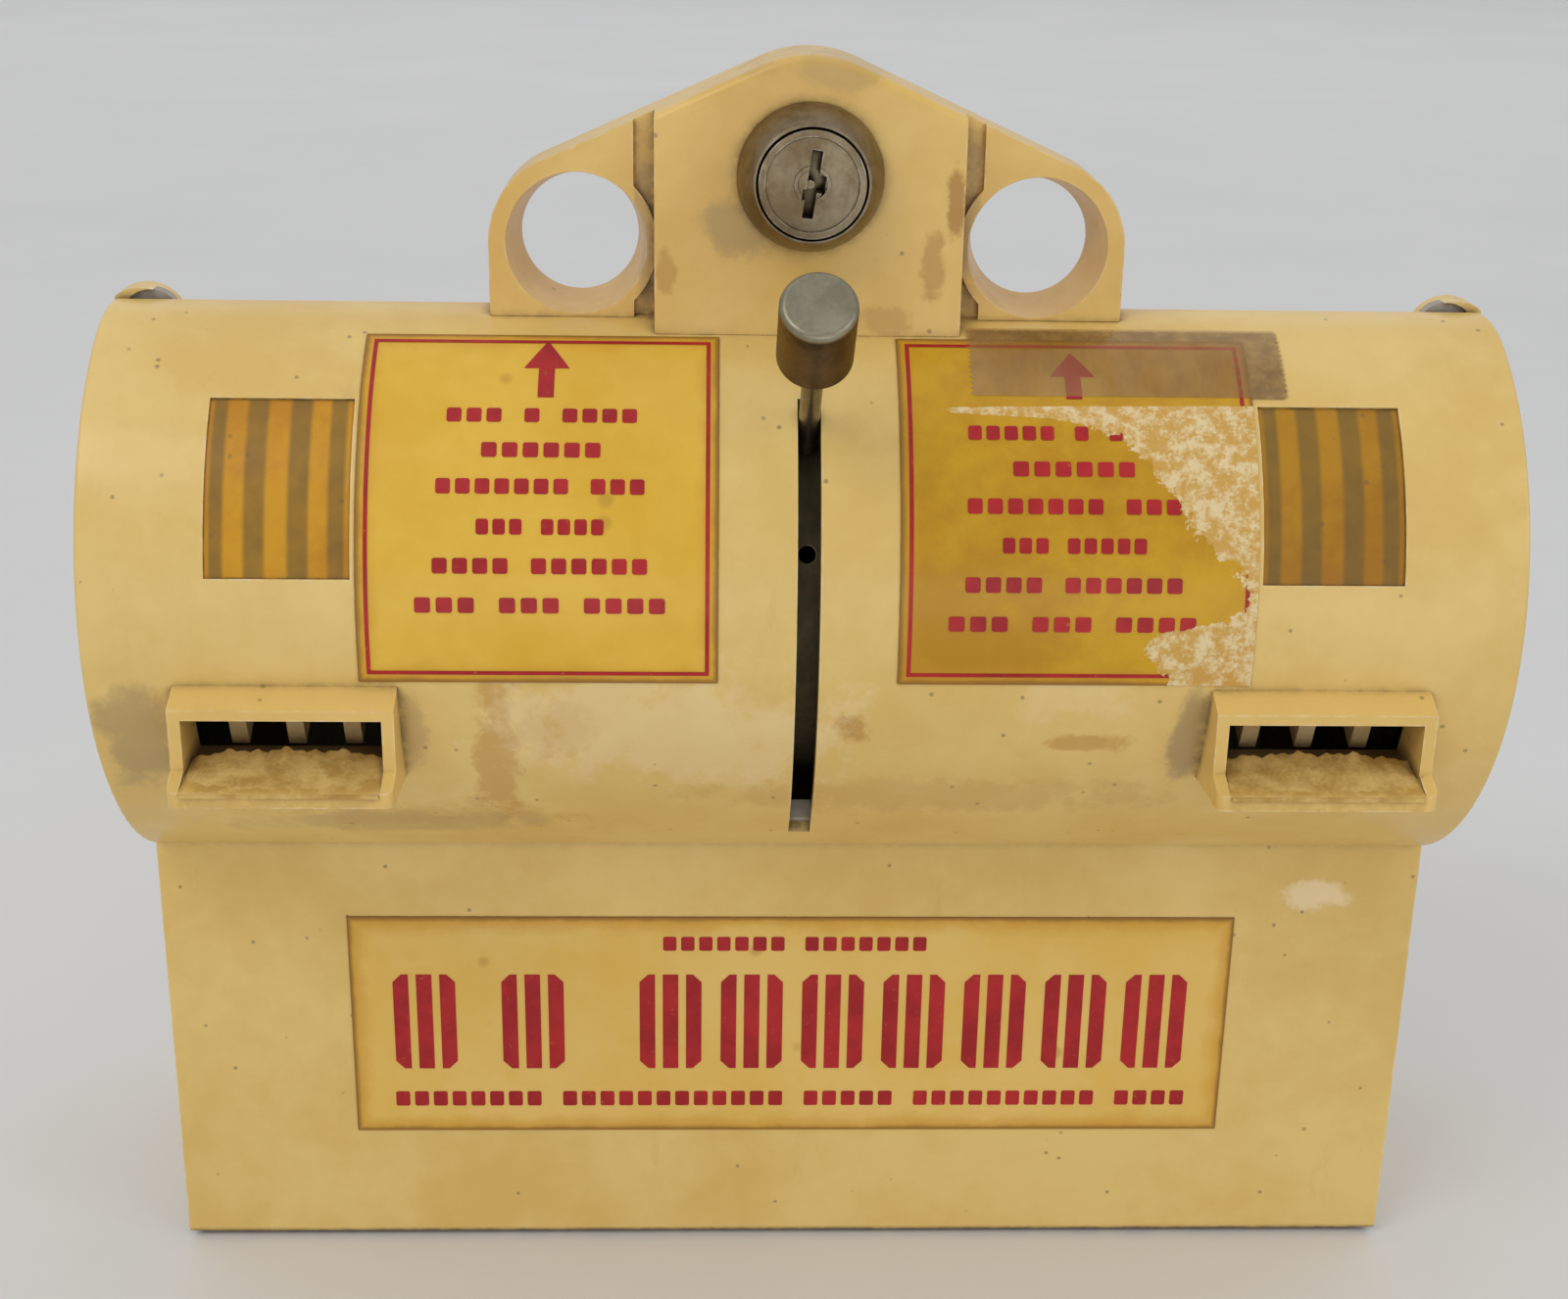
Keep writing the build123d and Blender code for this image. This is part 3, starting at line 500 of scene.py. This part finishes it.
def label_material(name, pale, deep, frame_box, on_drum, torn=False):
    """Varnished label, darker towards its edges. frame_box is left, right, low and high."""
    material, tree, shader = start_material(name, Coat_Roughness=0.15, Specular_IOR_Level=0.3)
    base = mottled(tree, 38.0, pale, deep)
    spot = use(tree, DRUM_MAP)
    sides = dict(zip(("Left", "Right", "Low", "High"), frame_box))
    sides["Across"] = spot["Across"]
    sides["Along"] = spot["Along"] if on_drum else axis_values(tree)["Z"]
    wide = use(tree, BORDER, Reach=4.0 * MM, **sides)["Mask"]
    thin = use(tree, BORDER, Reach=1.1 * MM, **sides)["Mask"]
    colour = tinted(tree, base["Color"], LABEL_EDGE, wide, 0.75)
    colour = tinted(tree, colour, LABEL_RIM, thin, 0.85)
    colour = speckled(tree, colour, LABEL_SPOT, 130.0, 0.16, 0.5)
    rough = plus(tree, 0.32, base["Cloud"], 0.12)
    height = noise(tree, place(tree), 700.0, 3.0)
    if torn:
        bare = use(tree, TORN)["Mask"]
        crumbs = ramp(tree, noise(tree, place(tree), 420.0, 6.0, 0.8), 0.44, 0.60)
        residue = blend(tree, crumbs, (0.62, 0.36, 0.08), (0.78, 0.62, 0.34))
        colour = blend(tree, bare, colour, residue)
        rough = plus(tree, rough, bare, 0.4)
        height = calc(tree, "SUBTRACT", height, times(tree, bare, 1.6))
    feed(tree, shader["Base Color"], colour)
    feed(tree, shader["Roughness"], rough)
    feed(tree, shader["Coat Weight"], times(tree, calc(tree, "SUBTRACT", 1.0, wide), 0.12))
    feed(tree, shader["Normal"], bump(tree, height, 0.25, 0.06 * MM))
    return material


def ink_material(name, torn=False):
    """Red print, thin in places, and gone where the label's face has peeled."""
    material, tree, shader = start_material(
        name, Coat_Weight=0.08, Roughness=0.42, Specular_IOR_Level=0.3)
    base = mottled(tree, 90.0, (0.47, 0.016, 0.018), (0.34, 0.008, 0.012))
    thin = ramp(tree, noise(tree, place(tree), 800.0, 5.0, 0.7), 0.62, 0.78)
    feed(tree, shader["Base Color"], tinted(tree, base["Color"], (0.70, 0.36, 0.08), thin, 0.55))
    feed(tree, shader["Normal"], bump(tree, noise(tree, place(tree), 900.0), 0.15, 0.04 * MM))
    if torn:
        feed(tree, shader["Alpha"], calc(tree, "SUBTRACT", 1.0, use(tree, TORN)["Mask"], True))
    return material


# the dark bars behind a window: offset from its middle and half width, in millimetres
WINDOW_BARS = ((-9.0, 1.0), (-3.4, 1.5), (3.0, 1.5), (8.6, 1.2))


def window_material(name, box, painted_light_level):
    """Amber pane with the dark bars of the spring fingers close behind it."""
    material, tree, shader = start_material(
        name, Coat_Weight=0.10, Coat_Roughness=0.2, Specular_IOR_Level=0.25)
    low, high = box
    middle = (low.x + high.x) / 2
    across = axis_values(tree)["X"]
    bars = 0.0
    for offset, half in WINDOW_BARS:
        gap = calc(tree, "ABSOLUTE", calc(tree, "SUBTRACT", across, middle + offset * MM))
        bar = ramp(tree, gap, (half + 0.5) * MM, (half - 0.4) * MM)
        bars = calc(tree, "MAXIMUM", bars, bar)
    # this factor scales both pane colours; the right pane gets 0.72, a darker copy of the left: painted shade
    pale, deep = Vector((0.64, 0.31, 0.014)) * painted_light_level, Vector((0.52, 0.22, 0.009)) * painted_light_level
    base = mottled(tree, 60.0, pale, deep)
    soft = plus(tree, 0.42, noise(tree, place(tree), 260.0, 4.0), 0.5)
    colour = blend(tree, times(tree, bars, soft), base["Color"], WINDOW_BAR)
    colour = speckled(tree, colour, DIRT_AND_SHADE, 420.0, 0.18, 0.5)
    # painted shade in the corners, from ambient occlusion, mixed with dirt
    shade_and_dirt = use(tree, SHADE_AND_GRIME, Reach=1.6 * MM, Amount=1.0)["Mask"]
    feed(tree, shader["Base Color"], blend(tree, shade_and_dirt, colour, WINDOW_DIRT_AND_SHADE))
    feed(tree, shader["Roughness"], plus(tree, 0.42, base["Cloud"], 0.15))
    feed(tree, shader["Normal"], bump(tree, noise(tree, place(tree), 500.0, 4.0), 0.12, 0.05 * MM))
    return material


def metal(name, pale, deep, rough, stretch, tarnish_share=0.5):
    """Worn metal: drawn grain along one direction, tarnish in patches, and dirt with painted shade in corners."""
    material, tree, shader = start_material(name, Metallic=1.0)
    base = mottled(tree, 110.0, pale, deep)
    grain = noise(tree, stretched(tree, stretch), 900.0, 4.0, 0.6)
    patchy = ramp(tree, noise(tree, place(tree), 240.0, 6.0, 0.7), 0.48, 0.68)
    colour = tinted(tree, base["Color"], TARNISH, patchy, tarnish_share)
    colour = tinted(tree, colour, deep, grain, 0.35)
    colour = rubbed(tree, colour, BRIGHT_EDGE, 0.35 * MM, 0.6)
    # painted shade in the corners, from ambient occlusion, mixed with dirt
    shade_and_dirt = use(tree, SHADE_AND_GRIME, Reach=1.2 * MM, Amount=0.9)["Mask"]
    feed(tree, shader["Base Color"], blend(tree, shade_and_dirt, colour, METAL_DIRT_AND_SHADE))
    feed(tree, shader["Roughness"], plus(tree, plus(tree, rough, grain, 0.18), shade_and_dirt, 0.3))
    feed(tree, shader["Normal"], bump(tree, grain, 0.22, 0.03 * MM))
    return material


def knob_steel():
    """Knob with a rubbed bright end and dark, dirty sides."""
    material, tree, shader = start_material("knob_steel", Metallic=1.0)
    parts = axis_values(tree)
    ahead = calc(tree, "SUBTRACT", parts["Y"], AXIS.y)
    up = calc(tree, "SUBTRACT", parts["Z"], AXIS.z)
    squares = calc(tree, "ADD", times(tree, ahead, ahead), times(tree, up, up))
    end = ramp(tree, calc(tree, "SQRT", squares), 77.2 * MM, 78.0 * MM)
    base = mottled(tree, 160.0, (0.34, 0.31, 0.22), (0.24, 0.215, 0.15))
    side = mottled(tree, 130.0, (0.14, 0.095, 0.055), (0.05, 0.034, 0.02))
    feed(tree, shader["Base Color"], blend(tree, end, side["Color"], base["Color"]))
    grain = noise(tree, stretched(tree, (0.2, 1.5, 1.5)), 900.0, 4.0, 0.6)
    feed(tree, shader["Roughness"], plus(tree, 0.30, grain, 0.2))
    feed(tree, shader["Normal"], bump(tree, grain, 0.25, 0.03 * MM))
    return material


def dull(name, pale, deep, rough, scale=70.0, grain=900.0, depth=0.05):
    """Plastic, rubber, paper or paint with uneven colour, dust and a fine grain."""
    material, tree, shader = start_material(name)
    base = mottled(tree, scale, pale, deep)
    colour = speckled(tree, base["Color"], DIRT_AND_SHADE, 260.0, 0.15, 0.35)
    paler = tuple(min(1.0, value * 1.3 + 0.05) for value in pale)
    colour = rubbed(tree, colour, paler, 0.4 * MM, 0.35)
    # painted shade in the corners, from ambient occlusion, mixed with dirt
    shade_and_dirt = use(tree, SHADE_AND_GRIME, Reach=2.0 * MM, Amount=0.8)["Mask"]
    feed(tree, shader["Base Color"], blend(tree, shade_and_dirt, colour, DIRT_AND_SHADE))
    feed(tree, shader["Roughness"], plus(tree, rough, base["Cloud"], 0.12))
    feed(tree, shader["Normal"], bump(tree, noise(tree, place(tree), grain, 4.0), 0.3, depth * MM))
    return material


def tape_material():
    """Old clear tape, yellowed, with trapped streaks."""
    material, tree, shader = start_material("old_tape", Roughness=0.22, Coat_Weight=0.6)
    base = mottled(tree, 70.0, (0.55, 0.35, 0.12), (0.36, 0.18, 0.04))
    feed(tree, shader["Base Color"], base["Color"])
    streak = noise(tree, stretched(tree, (3.0, 0.6, 0.6)), 130.0, 5.0, 0.7)
    feed(tree, shader["Alpha"], plus(tree, 0.14, streak, 0.34))
    feed(tree, shader["Normal"], bump(tree, streak, 0.3, 0.08 * MM))
    return material


def floor_material():
    material, tree, shader = start_material("pale_table")
    base = mottled(tree, 5.0, (0.77, 0.77, 0.768), (0.745, 0.745, 0.743))
    feed(tree, shader["Base Color"], base["Color"])
    feed(tree, shader["Roughness"], plus(tree, 0.55, base["Cloud"], 0.1))
    feed(tree, shader["Normal"], bump(tree, noise(tree, place(tree), 400.0, 4.0), 0.1, 0.1 * MM))
    return material


def label_frame(node):
    """Left, right, low and high of a drum label, with the last two as arc lengths."""
    low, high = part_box(node)
    foot = math.asin((low.z - AXIS.z) / LABEL_TOP_R)
    head = math.asin((high.z - AXIS.z) / LABEL_TOP_R)
    return low.x, high.x, foot * DRUM_R, head * DRUM_R


def flat_frame(node):
    """Left, right, low and high of the label on the flat panel."""
    low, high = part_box(node)
    return low.x, high.x, low.z, high.z


LABEL_LEFT = label_material("left_label", (0.80, 0.50, 0.058), (0.74, 0.43, 0.032),
                            label_frame("instruction_label_left"), on_drum=True)
LABEL_RIGHT = label_material("right_label", (0.63, 0.355, 0.008), (0.49, 0.24, 0.004),
                             label_frame("instruction_label_right"), on_drum=True, torn=True)
LABEL_FRONT = label_material("front_label", (0.80, 0.54, 0.15), (0.77, 0.49, 0.10),
                             flat_frame("name_label"), on_drum=False)
INK, INK_TORN = ink_material("red_ink"), ink_material("red_ink_torn", torn=True)
DUST = dull("packed_dust", (0.70, 0.48, 0.15), (0.46, 0.27, 0.055), 0.85,
            scale=220.0, grain=1500.0, depth=0.12)
MATERIAL_OF_SLOT = {
    "cover_plastic": cover_plastic("aged_cream", CREAM_PALE, CREAM_DEEP, COVER_STAINS_AND_HIGHLIGHT),
    "label_paper": LABEL_LEFT,
    "lock_nickel": metal("worn_nickel", (0.31, 0.255, 0.165), (0.18, 0.13, 0.07), 0.34, (1, 1, 1)),
    "turned_steel": metal("turned_steel", (0.36, 0.33, 0.26), (0.19, 0.165, 0.12), 0.27,
                          (0.15, 1.6, 1.6), tarnish_share=0.35),
    "dark_steel": metal("dark_steel", (0.15, 0.125, 0.07), (0.08, 0.066, 0.04), 0.45,
                        (1.4, 0.3, 0.3)),
    "zinc_plate": metal("zinc_plate", (0.60, 0.60, 0.58), (0.44, 0.44, 0.43), 0.34,
                        (1, 0.25, 1.2), tarnish_share=0.25),
    "brass_bush": metal("plain_brass", (0.70, 0.50, 0.20), (0.48, 0.32, 0.12), 0.30,
                        (0.3, 1.5, 1.5), tarnish_share=0.3),
    "black_rubber": dull("black_rubber", (0.045, 0.043, 0.04), (0.025, 0.024, 0.022), 0.65),
    "grey_rubber": dull("grey_rubber", (0.46, 0.43, 0.37), (0.34, 0.31, 0.26), 0.7, depth=0.12),
    "guide_plastic": dull("guide_plastic", (0.74, 0.56, 0.28), (0.60, 0.42, 0.18), 0.45),
    "stamp_paper": dull("gummed_paper", (0.80, 0.77, 0.68), (0.70, 0.66, 0.56), 0.75, grain=1400.0),
    "coin_tin": dull("grey_paint", (0.30, 0.32, 0.31), (0.22, 0.235, 0.23), 0.4, grain=500.0),
}
MATERIAL_OF_NODE = {
    "instruction_label_right": LABEL_RIGHT,
    "name_label": LABEL_FRONT,
    "lock_crest": cover_plastic("crest_cream", CREST_PALE, CREST_DEEP, CREST_STAINS_AND_SHADE),
    "lever_knob": knob_steel(),
    "exit_chute_left": cover_plastic("chute_cream_left", CREST_PALE, CREAM_DEEP, dust=-CHUTE_X),
    "exit_chute_right": cover_plastic("chute_cream_right", CREST_PALE, CREAM_DEEP, dust=CHUTE_X),
    "window_pane_left": window_material("amber_left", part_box("window_pane_left"), 1.0),
    # the right pane is the left's colour at 0.72: painted shade
    "window_pane_right": window_material("amber_right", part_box("window_pane_right"), 0.72),
}


def material_for(node):
    return MATERIAL_OF_NODE.get(node) or MATERIAL_OF_SLOT[SLOT_OF[node]]


def wear(piece, material):
    piece.data.materials.clear()
    piece.data.materials.append(material)


def edit_all(*steps):
    """Runs mesh operators, given as (name, settings), on all of the active piece."""
    bpy.ops.object.mode_set(mode="EDIT")
    bpy.ops.mesh.select_all(action="SELECT")
    for operator, settings in steps:
        getattr(bpy.ops.mesh, operator)(**settings)
    bpy.ops.object.mode_set(mode="OBJECT")


def apply_modifier(piece, kind, **settings):
    modifier = piece.modifiers.new(kind.lower(), kind)
    for key, value in settings.items():
        setattr(modifier, key, value)
    bpy.ops.object.modifier_apply(modifier=modifier.name)


def new_piece(name, mesh):
    piece = bpy.data.objects.new(name, mesh)
    bpy.context.scene.collection.objects.link(piece)
    pick(piece)
    return piece


def turn_outwards(piece):
    pick(piece)
    edit_all(("normals_make_consistent", {"inside": False}))


def finish_piece(piece, body, material):
    wear(piece, material)
    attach(piece, body)


# ---------------------------------------------------------------- moulded and turned pieces
FLAT_ANGLE, SHARP_ANGLE, SMOOTH_ANGLE = math.radians(0.4), math.radians(35), math.radians(38)


def softened(node, width):
    """Merged copy of a CAD node with its sharp edges rounded, standing for that node."""
    piece = new_piece(node + "_shell", NODES[node].data.copy())
    bpy.ops.mesh.customdata_custom_splitnormals_clear()
    edit_all(("remove_doubles", {"threshold": MERGE}),
             ("dissolve_limited", {"angle_limit": FLAT_ANGLE}))
    apply_modifier(piece, "BEVEL", width=width * MM, segments=2, limit_method="ANGLE",
                   angle_limit=SHARP_ANGLE, miter_outer="MITER_ARC")
    bpy.ops.object.shade_smooth_by_angle(angle=SMOOTH_ANGLE)
    apply_modifier(piece, "WEIGHTED_NORMAL", keep_sharp=True)
    finish_piece(piece, BODY_OF[node], material_for(node))
    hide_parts(node)


# ---------------------------------------------------------------- print on the labels
def flat_blocks(name, outlines, depth):
    """Flat closed outlines of (across, along) points in millimetres, as thin raised print."""
    points, faces = [], []
    for outline in outlines:
        first = len(points)
        points += [(x * MM, y * MM, 0.0) for x, y in outline]
        faces.append(list(range(first, first + len(outline))))
    mesh = bpy.data.meshes.new(name)
    mesh.from_pydata(points, [], faces)
    piece = new_piece(name, mesh)
    edit_all(("remove_doubles", {"threshold": MERGE}))
    apply_modifier(piece, "SOLIDIFY", thickness=depth, offset=1.0)
    return piece


def rectangle(x0, x1, y0, y1, cut=0.0):
    """Rectangle, with its corners cut off if cut is given."""
    if cut:
        return [(x0 + cut, y0), (x1 - cut, y0), (x1, y0 + cut), (x1, y1 - cut),
                (x1 - cut, y1), (x0 + cut, y1), (x0, y1 - cut), (x0, y0 + cut)]
    return [(x0, y0), (x1, y0), (x1, y1), (x0, y1)]


def slices(widths, y0, y1):
    """Stack of four-sided slices between y0 and y1, from the (left, right) at each level."""
    levels = [y0 + (y1 - y0) * i / (len(widths) - 1) for i in range(len(widths))]
    return [[(a[0], low), (a[1], low), (b[1], high), (b[0], high)]
            for a, b, low, high in zip(widths, widths[1:], levels, levels[1:])]


WORD_GAP = 0.9                   # space between words, in blocks


def print_row(middle, width, words, y, height):
    """Plain blocks in place of one line of words, with the words' lengths as counts of blocks."""
    pitch = width / (sum(words) + WORD_GAP * (len(words) - 1))
    x = middle - width / 2
    blocks = []
    for word in words:
        for _ in range(word):
            left, right = x + 0.12 * pitch, x + 0.86 * pitch
            blocks.append(rectangle(left, right, y - height / 2, y + height / 2, 0.25))
            x += pitch
        x += WORD_GAP * pitch
    return blocks


def border_strips(x0, x1, y0, y1, width, steps):
    """Four thin strips round a rectangle, with the upright ones cut in slices."""
    uprights = []
    for left in (x0, x1 - width):
        uprights += slices([(left, left + width)] * (steps + 1), y0 + width, y1 - width)
    return uprights + [rectangle(x0, x1, y0, y0 + width), rectangle(x0, x1, y1 - width, y1)]


def arrow(x, tip, half, neck, foot, shaft):
    """Plain arrow pointing up, in slices so that it can follow the drum."""
    head = [(x - half * (1 - i / 4.2), x + half * (1 - i / 4.2)) for i in range(5)]
    return slices(head, neck, tip) + slices([(x - shaft, x + shaft)] * 5, foot, neck - 0.001)


def wrap_on_drum(piece, radius):
    """Bends a flat piece round the drum: its Y becomes arc length, and its Z height."""
    for vertex in piece.data.vertices:
        across, along, height = vertex.co
        angle = along / DRUM_R
        reach = radius + height
        vertex.co = (across, AXIS.y - reach * math.cos(angle), AXIS.z + reach * math.sin(angle))
    piece.data.update()


# across the front label, the left and right of each tall block, in millimetres
BIG_BLOCKS = ((-69.4, -58.6), (-50.6, -39.8), (-26.6, -15.8), (-12.4, -1.6), (1.8, 12.6),
              (16.0, 26.8), (30.2, 41.0), (44.4, 55.2), (58.6, 69.4))
# line of print: words, width in millimetres and angle on the drum
LEFT_LINES = (((3, 1, 4), 29.0, 42.8), ((6,), 18.4, 35.9), ((7, 3), 31.5, 29.0),
              ((3, 4), 19.4, 21.6), ((4, 6), 32.4, 14.5), ((3, 3, 4), 37.8, 7.3))
RIGHT_LINES = (((5, 1, 4), 32.0, 40.0), ((6,), 19.0, 33.0), ((7, 3), 32.7, 26.0),
               ((3, 5), 22.1, 18.8), ((4, 6), 33.2, 11.6), ((3, 3, 4), 37.9, 4.3))
BORDER_INSET, BORDER_WIDTH, BORDER_STEPS = 1.3, 0.6, 24
LINE_HEIGHT, ARROW_HALF, ARROW_SHAFT = 2.3, 3.4, 1.2


def arc_mm(degrees):
    return math.radians(degrees) * DRUM_R / MM


def drum_print(side, lines, middle, arrow_x, arrow_angles, ink):
    """Border, lines and arrow of one drum label; the arrow's angles are tip, neck and foot."""
    left, right, low, high = (v / MM for v in label_frame("instruction_label_" + side))
    outlines = border_strips(left + BORDER_INSET, right - BORDER_INSET, low + BORDER_INSET,
                             high - BORDER_INSET, BORDER_WIDTH, BORDER_STEPS)
    for words, width, angle in lines:
        outlines += print_row(middle, width, words, arc_mm(angle), LINE_HEIGHT)
    tip, neck, foot = (arc_mm(angle) for angle in arrow_angles)
    outlines += arrow(arrow_x, tip, ARROW_HALF, neck, foot, ARROW_SHAFT)
    piece = flat_blocks("label_print_" + side, outlines, INK_T)
    wrap_on_drum(piece, LABEL_TOP_R + INK_LIFT)
    turn_outwards(piece)
    finish_piece(piece, "door", ink)


def barred_block(x0, x1, z0, z1):
    """Tall block of print made of three plain bars, with its outer corners cut."""
    bar, cut = 2.7, 1.5
    middle = (x0 + x1) / 2
    first = [(x0 + cut, z0), (x0 + bar, z0), (x0 + bar, z1), (x0 + cut, z1), (x0, z1 - cut),
             (x0, z0 + cut)]
    last = [(x1 - bar, z0), (x1 - cut, z0), (x1, z0 + cut), (x1, z1 - cut), (x1 - cut, z1),
            (x1 - bar, z1)]
    return [first, rectangle(middle - bar / 2, middle + bar / 2, z0, z1), last]


def front_print():
    """Two lines and a row of tall blocks on the flat label."""
    label_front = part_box("name_label")[0].y
    outlines = print_row(0.4, 46.5, (7, 7), 59.6, 2.7)
    outlines += print_row(0.4, 141.0, (8, 12, 5, 10, 4), 28.9, 2.9)
    for x0, x1 in BIG_BLOCKS:
        outlines += barred_block(x0, x1, 35.0, 53.6)
    piece = flat_blocks("front_label_print", outlines, INK_T)
    front = label_front - FRONT_INK_LIFT
    for vertex in piece.data.vertices:
        across, along, height = vertex.co
        vertex.co = (across, front - height, along)
    piece.data.update()
    turn_outwards(piece)
    finish_piece(piece, "door", INK)


def tape_strip():
    """Strip of clear tape across the top of the right-hand label, with saw-cut ends."""
    x0, x1, teeth, tooth = 25.0, 72.0, 14, 0.7
    widths = [(x0 - tooth * (i % 2), x1 + tooth * (i % 2)) for i in range(2 * teeth + 1)]
    outlines = slices(widths, arc_mm(47.8), arc_mm(65.0))
    piece = flat_blocks("tape_strip", outlines, TAPE_T)
    wrap_on_drum(piece, LABEL_TOP_R + TAPE_LIFT)
    turn_outwards(piece)
    finish_piece(piece, "door", tape_material())


# ---------------------------------------------------------------- dust in the chutes
DUST_COLUMNS, DUST_ROWS, DUST_HALF = 44, 16, 14.6
DUST_FRONT, DUST_BACK = -75.0, -64.5


def dust_top(side, x, inward):
    """Height of the dust in millimetres, x from the chute's middle and inward from 0 to 1."""
    lump = math.sin(x * 1.1 + side) * math.sin(inward * 5 + x * 0.37)
    lump += 0.6 * math.sin(x * 2.9 + inward * 9)
    heap = (0.06 + 1.9 * inward ** 2.0) * (1 - 0.65 * (abs(x) / DUST_HALF) ** 3)
    floor = 106.2 + 1.1 * min(1.0, inward * 1.8)
    return floor + max(0.02, heap * (1 + 0.22 * lump))


def chute_dust(name, side, middle):
    """Lumpy wedge of dust on a chute's floor, deepest at the back."""
    points, faces = [], []
    for row in range(DUST_ROWS + 1):
        inward = row / DUST_ROWS
        y = DUST_FRONT + (DUST_BACK - DUST_FRONT) * inward
        for column in range(DUST_COLUMNS + 1):
            x = -DUST_HALF + 2 * DUST_HALF * column / DUST_COLUMNS
            points.append((middle + x * MM, y * MM, dust_top(side, x, inward) * MM))
    step = DUST_COLUMNS + 1
    for row in range(DUST_ROWS):
        for first in range(row * step, row * step + DUST_COLUMNS):
            faces.append([first, first + 1, first + step + 1, first + step])
    mesh = bpy.data.meshes.new("chute_dust")
    mesh.from_pydata(points, [], faces)
    piece = new_piece(name, mesh)
    apply_modifier(piece, "SOLIDIFY", thickness=0.5 * MM, offset=-1.0)
    turn_outwards(piece)
    bpy.ops.object.shade_smooth_by_angle(angle=math.radians(50))
    finish_piece(piece, "door", DUST)


# ---------------------------------------------------------------- floor
FLOOR_SIZE = 8.0


def make_floor():
    clear_selection()
    bpy.ops.mesh.primitive_plane_add(size=FLOOR_SIZE, location=(0, 0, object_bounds()[0].z))
    floor = bpy.context.object
    floor.name = "floor"
    wear(floor, floor_material())


# ---------------------------------------------------------------- everything
# CAD nodes that are shown with rounded edges, and the rounding in millimetres
SOFTENED = (("front_cover", 0.35), ("lock_crest", 0.35), ("exit_chute_left", 0.35),
            ("exit_chute_right", 0.35), ("rear_case", 0.3), ("lock_bezel", 0.25),
            ("lock_plug", 0.15), ("lever_knob", 0.35))
make_camera()
make_lights()
make_floor()
for node_name, node in NODES.items():
    wear(node, material_for(node_name))
for node_name, rounding in SOFTENED:
    softened(node_name, rounding)
drum_print("left", LEFT_LINES, -39.8, -39.4, (59.7, 53.2, 46.6), INK)
drum_print("right", RIGHT_LINES, 39.4, 40.0, (57.9, 52.3, 47.2), INK_TORN)
front_print()
tape_strip()
chute_dust("chute_dust_left", -1, -CHUTE_X)
chute_dust("chute_dust_right", 1, CHUTE_X)
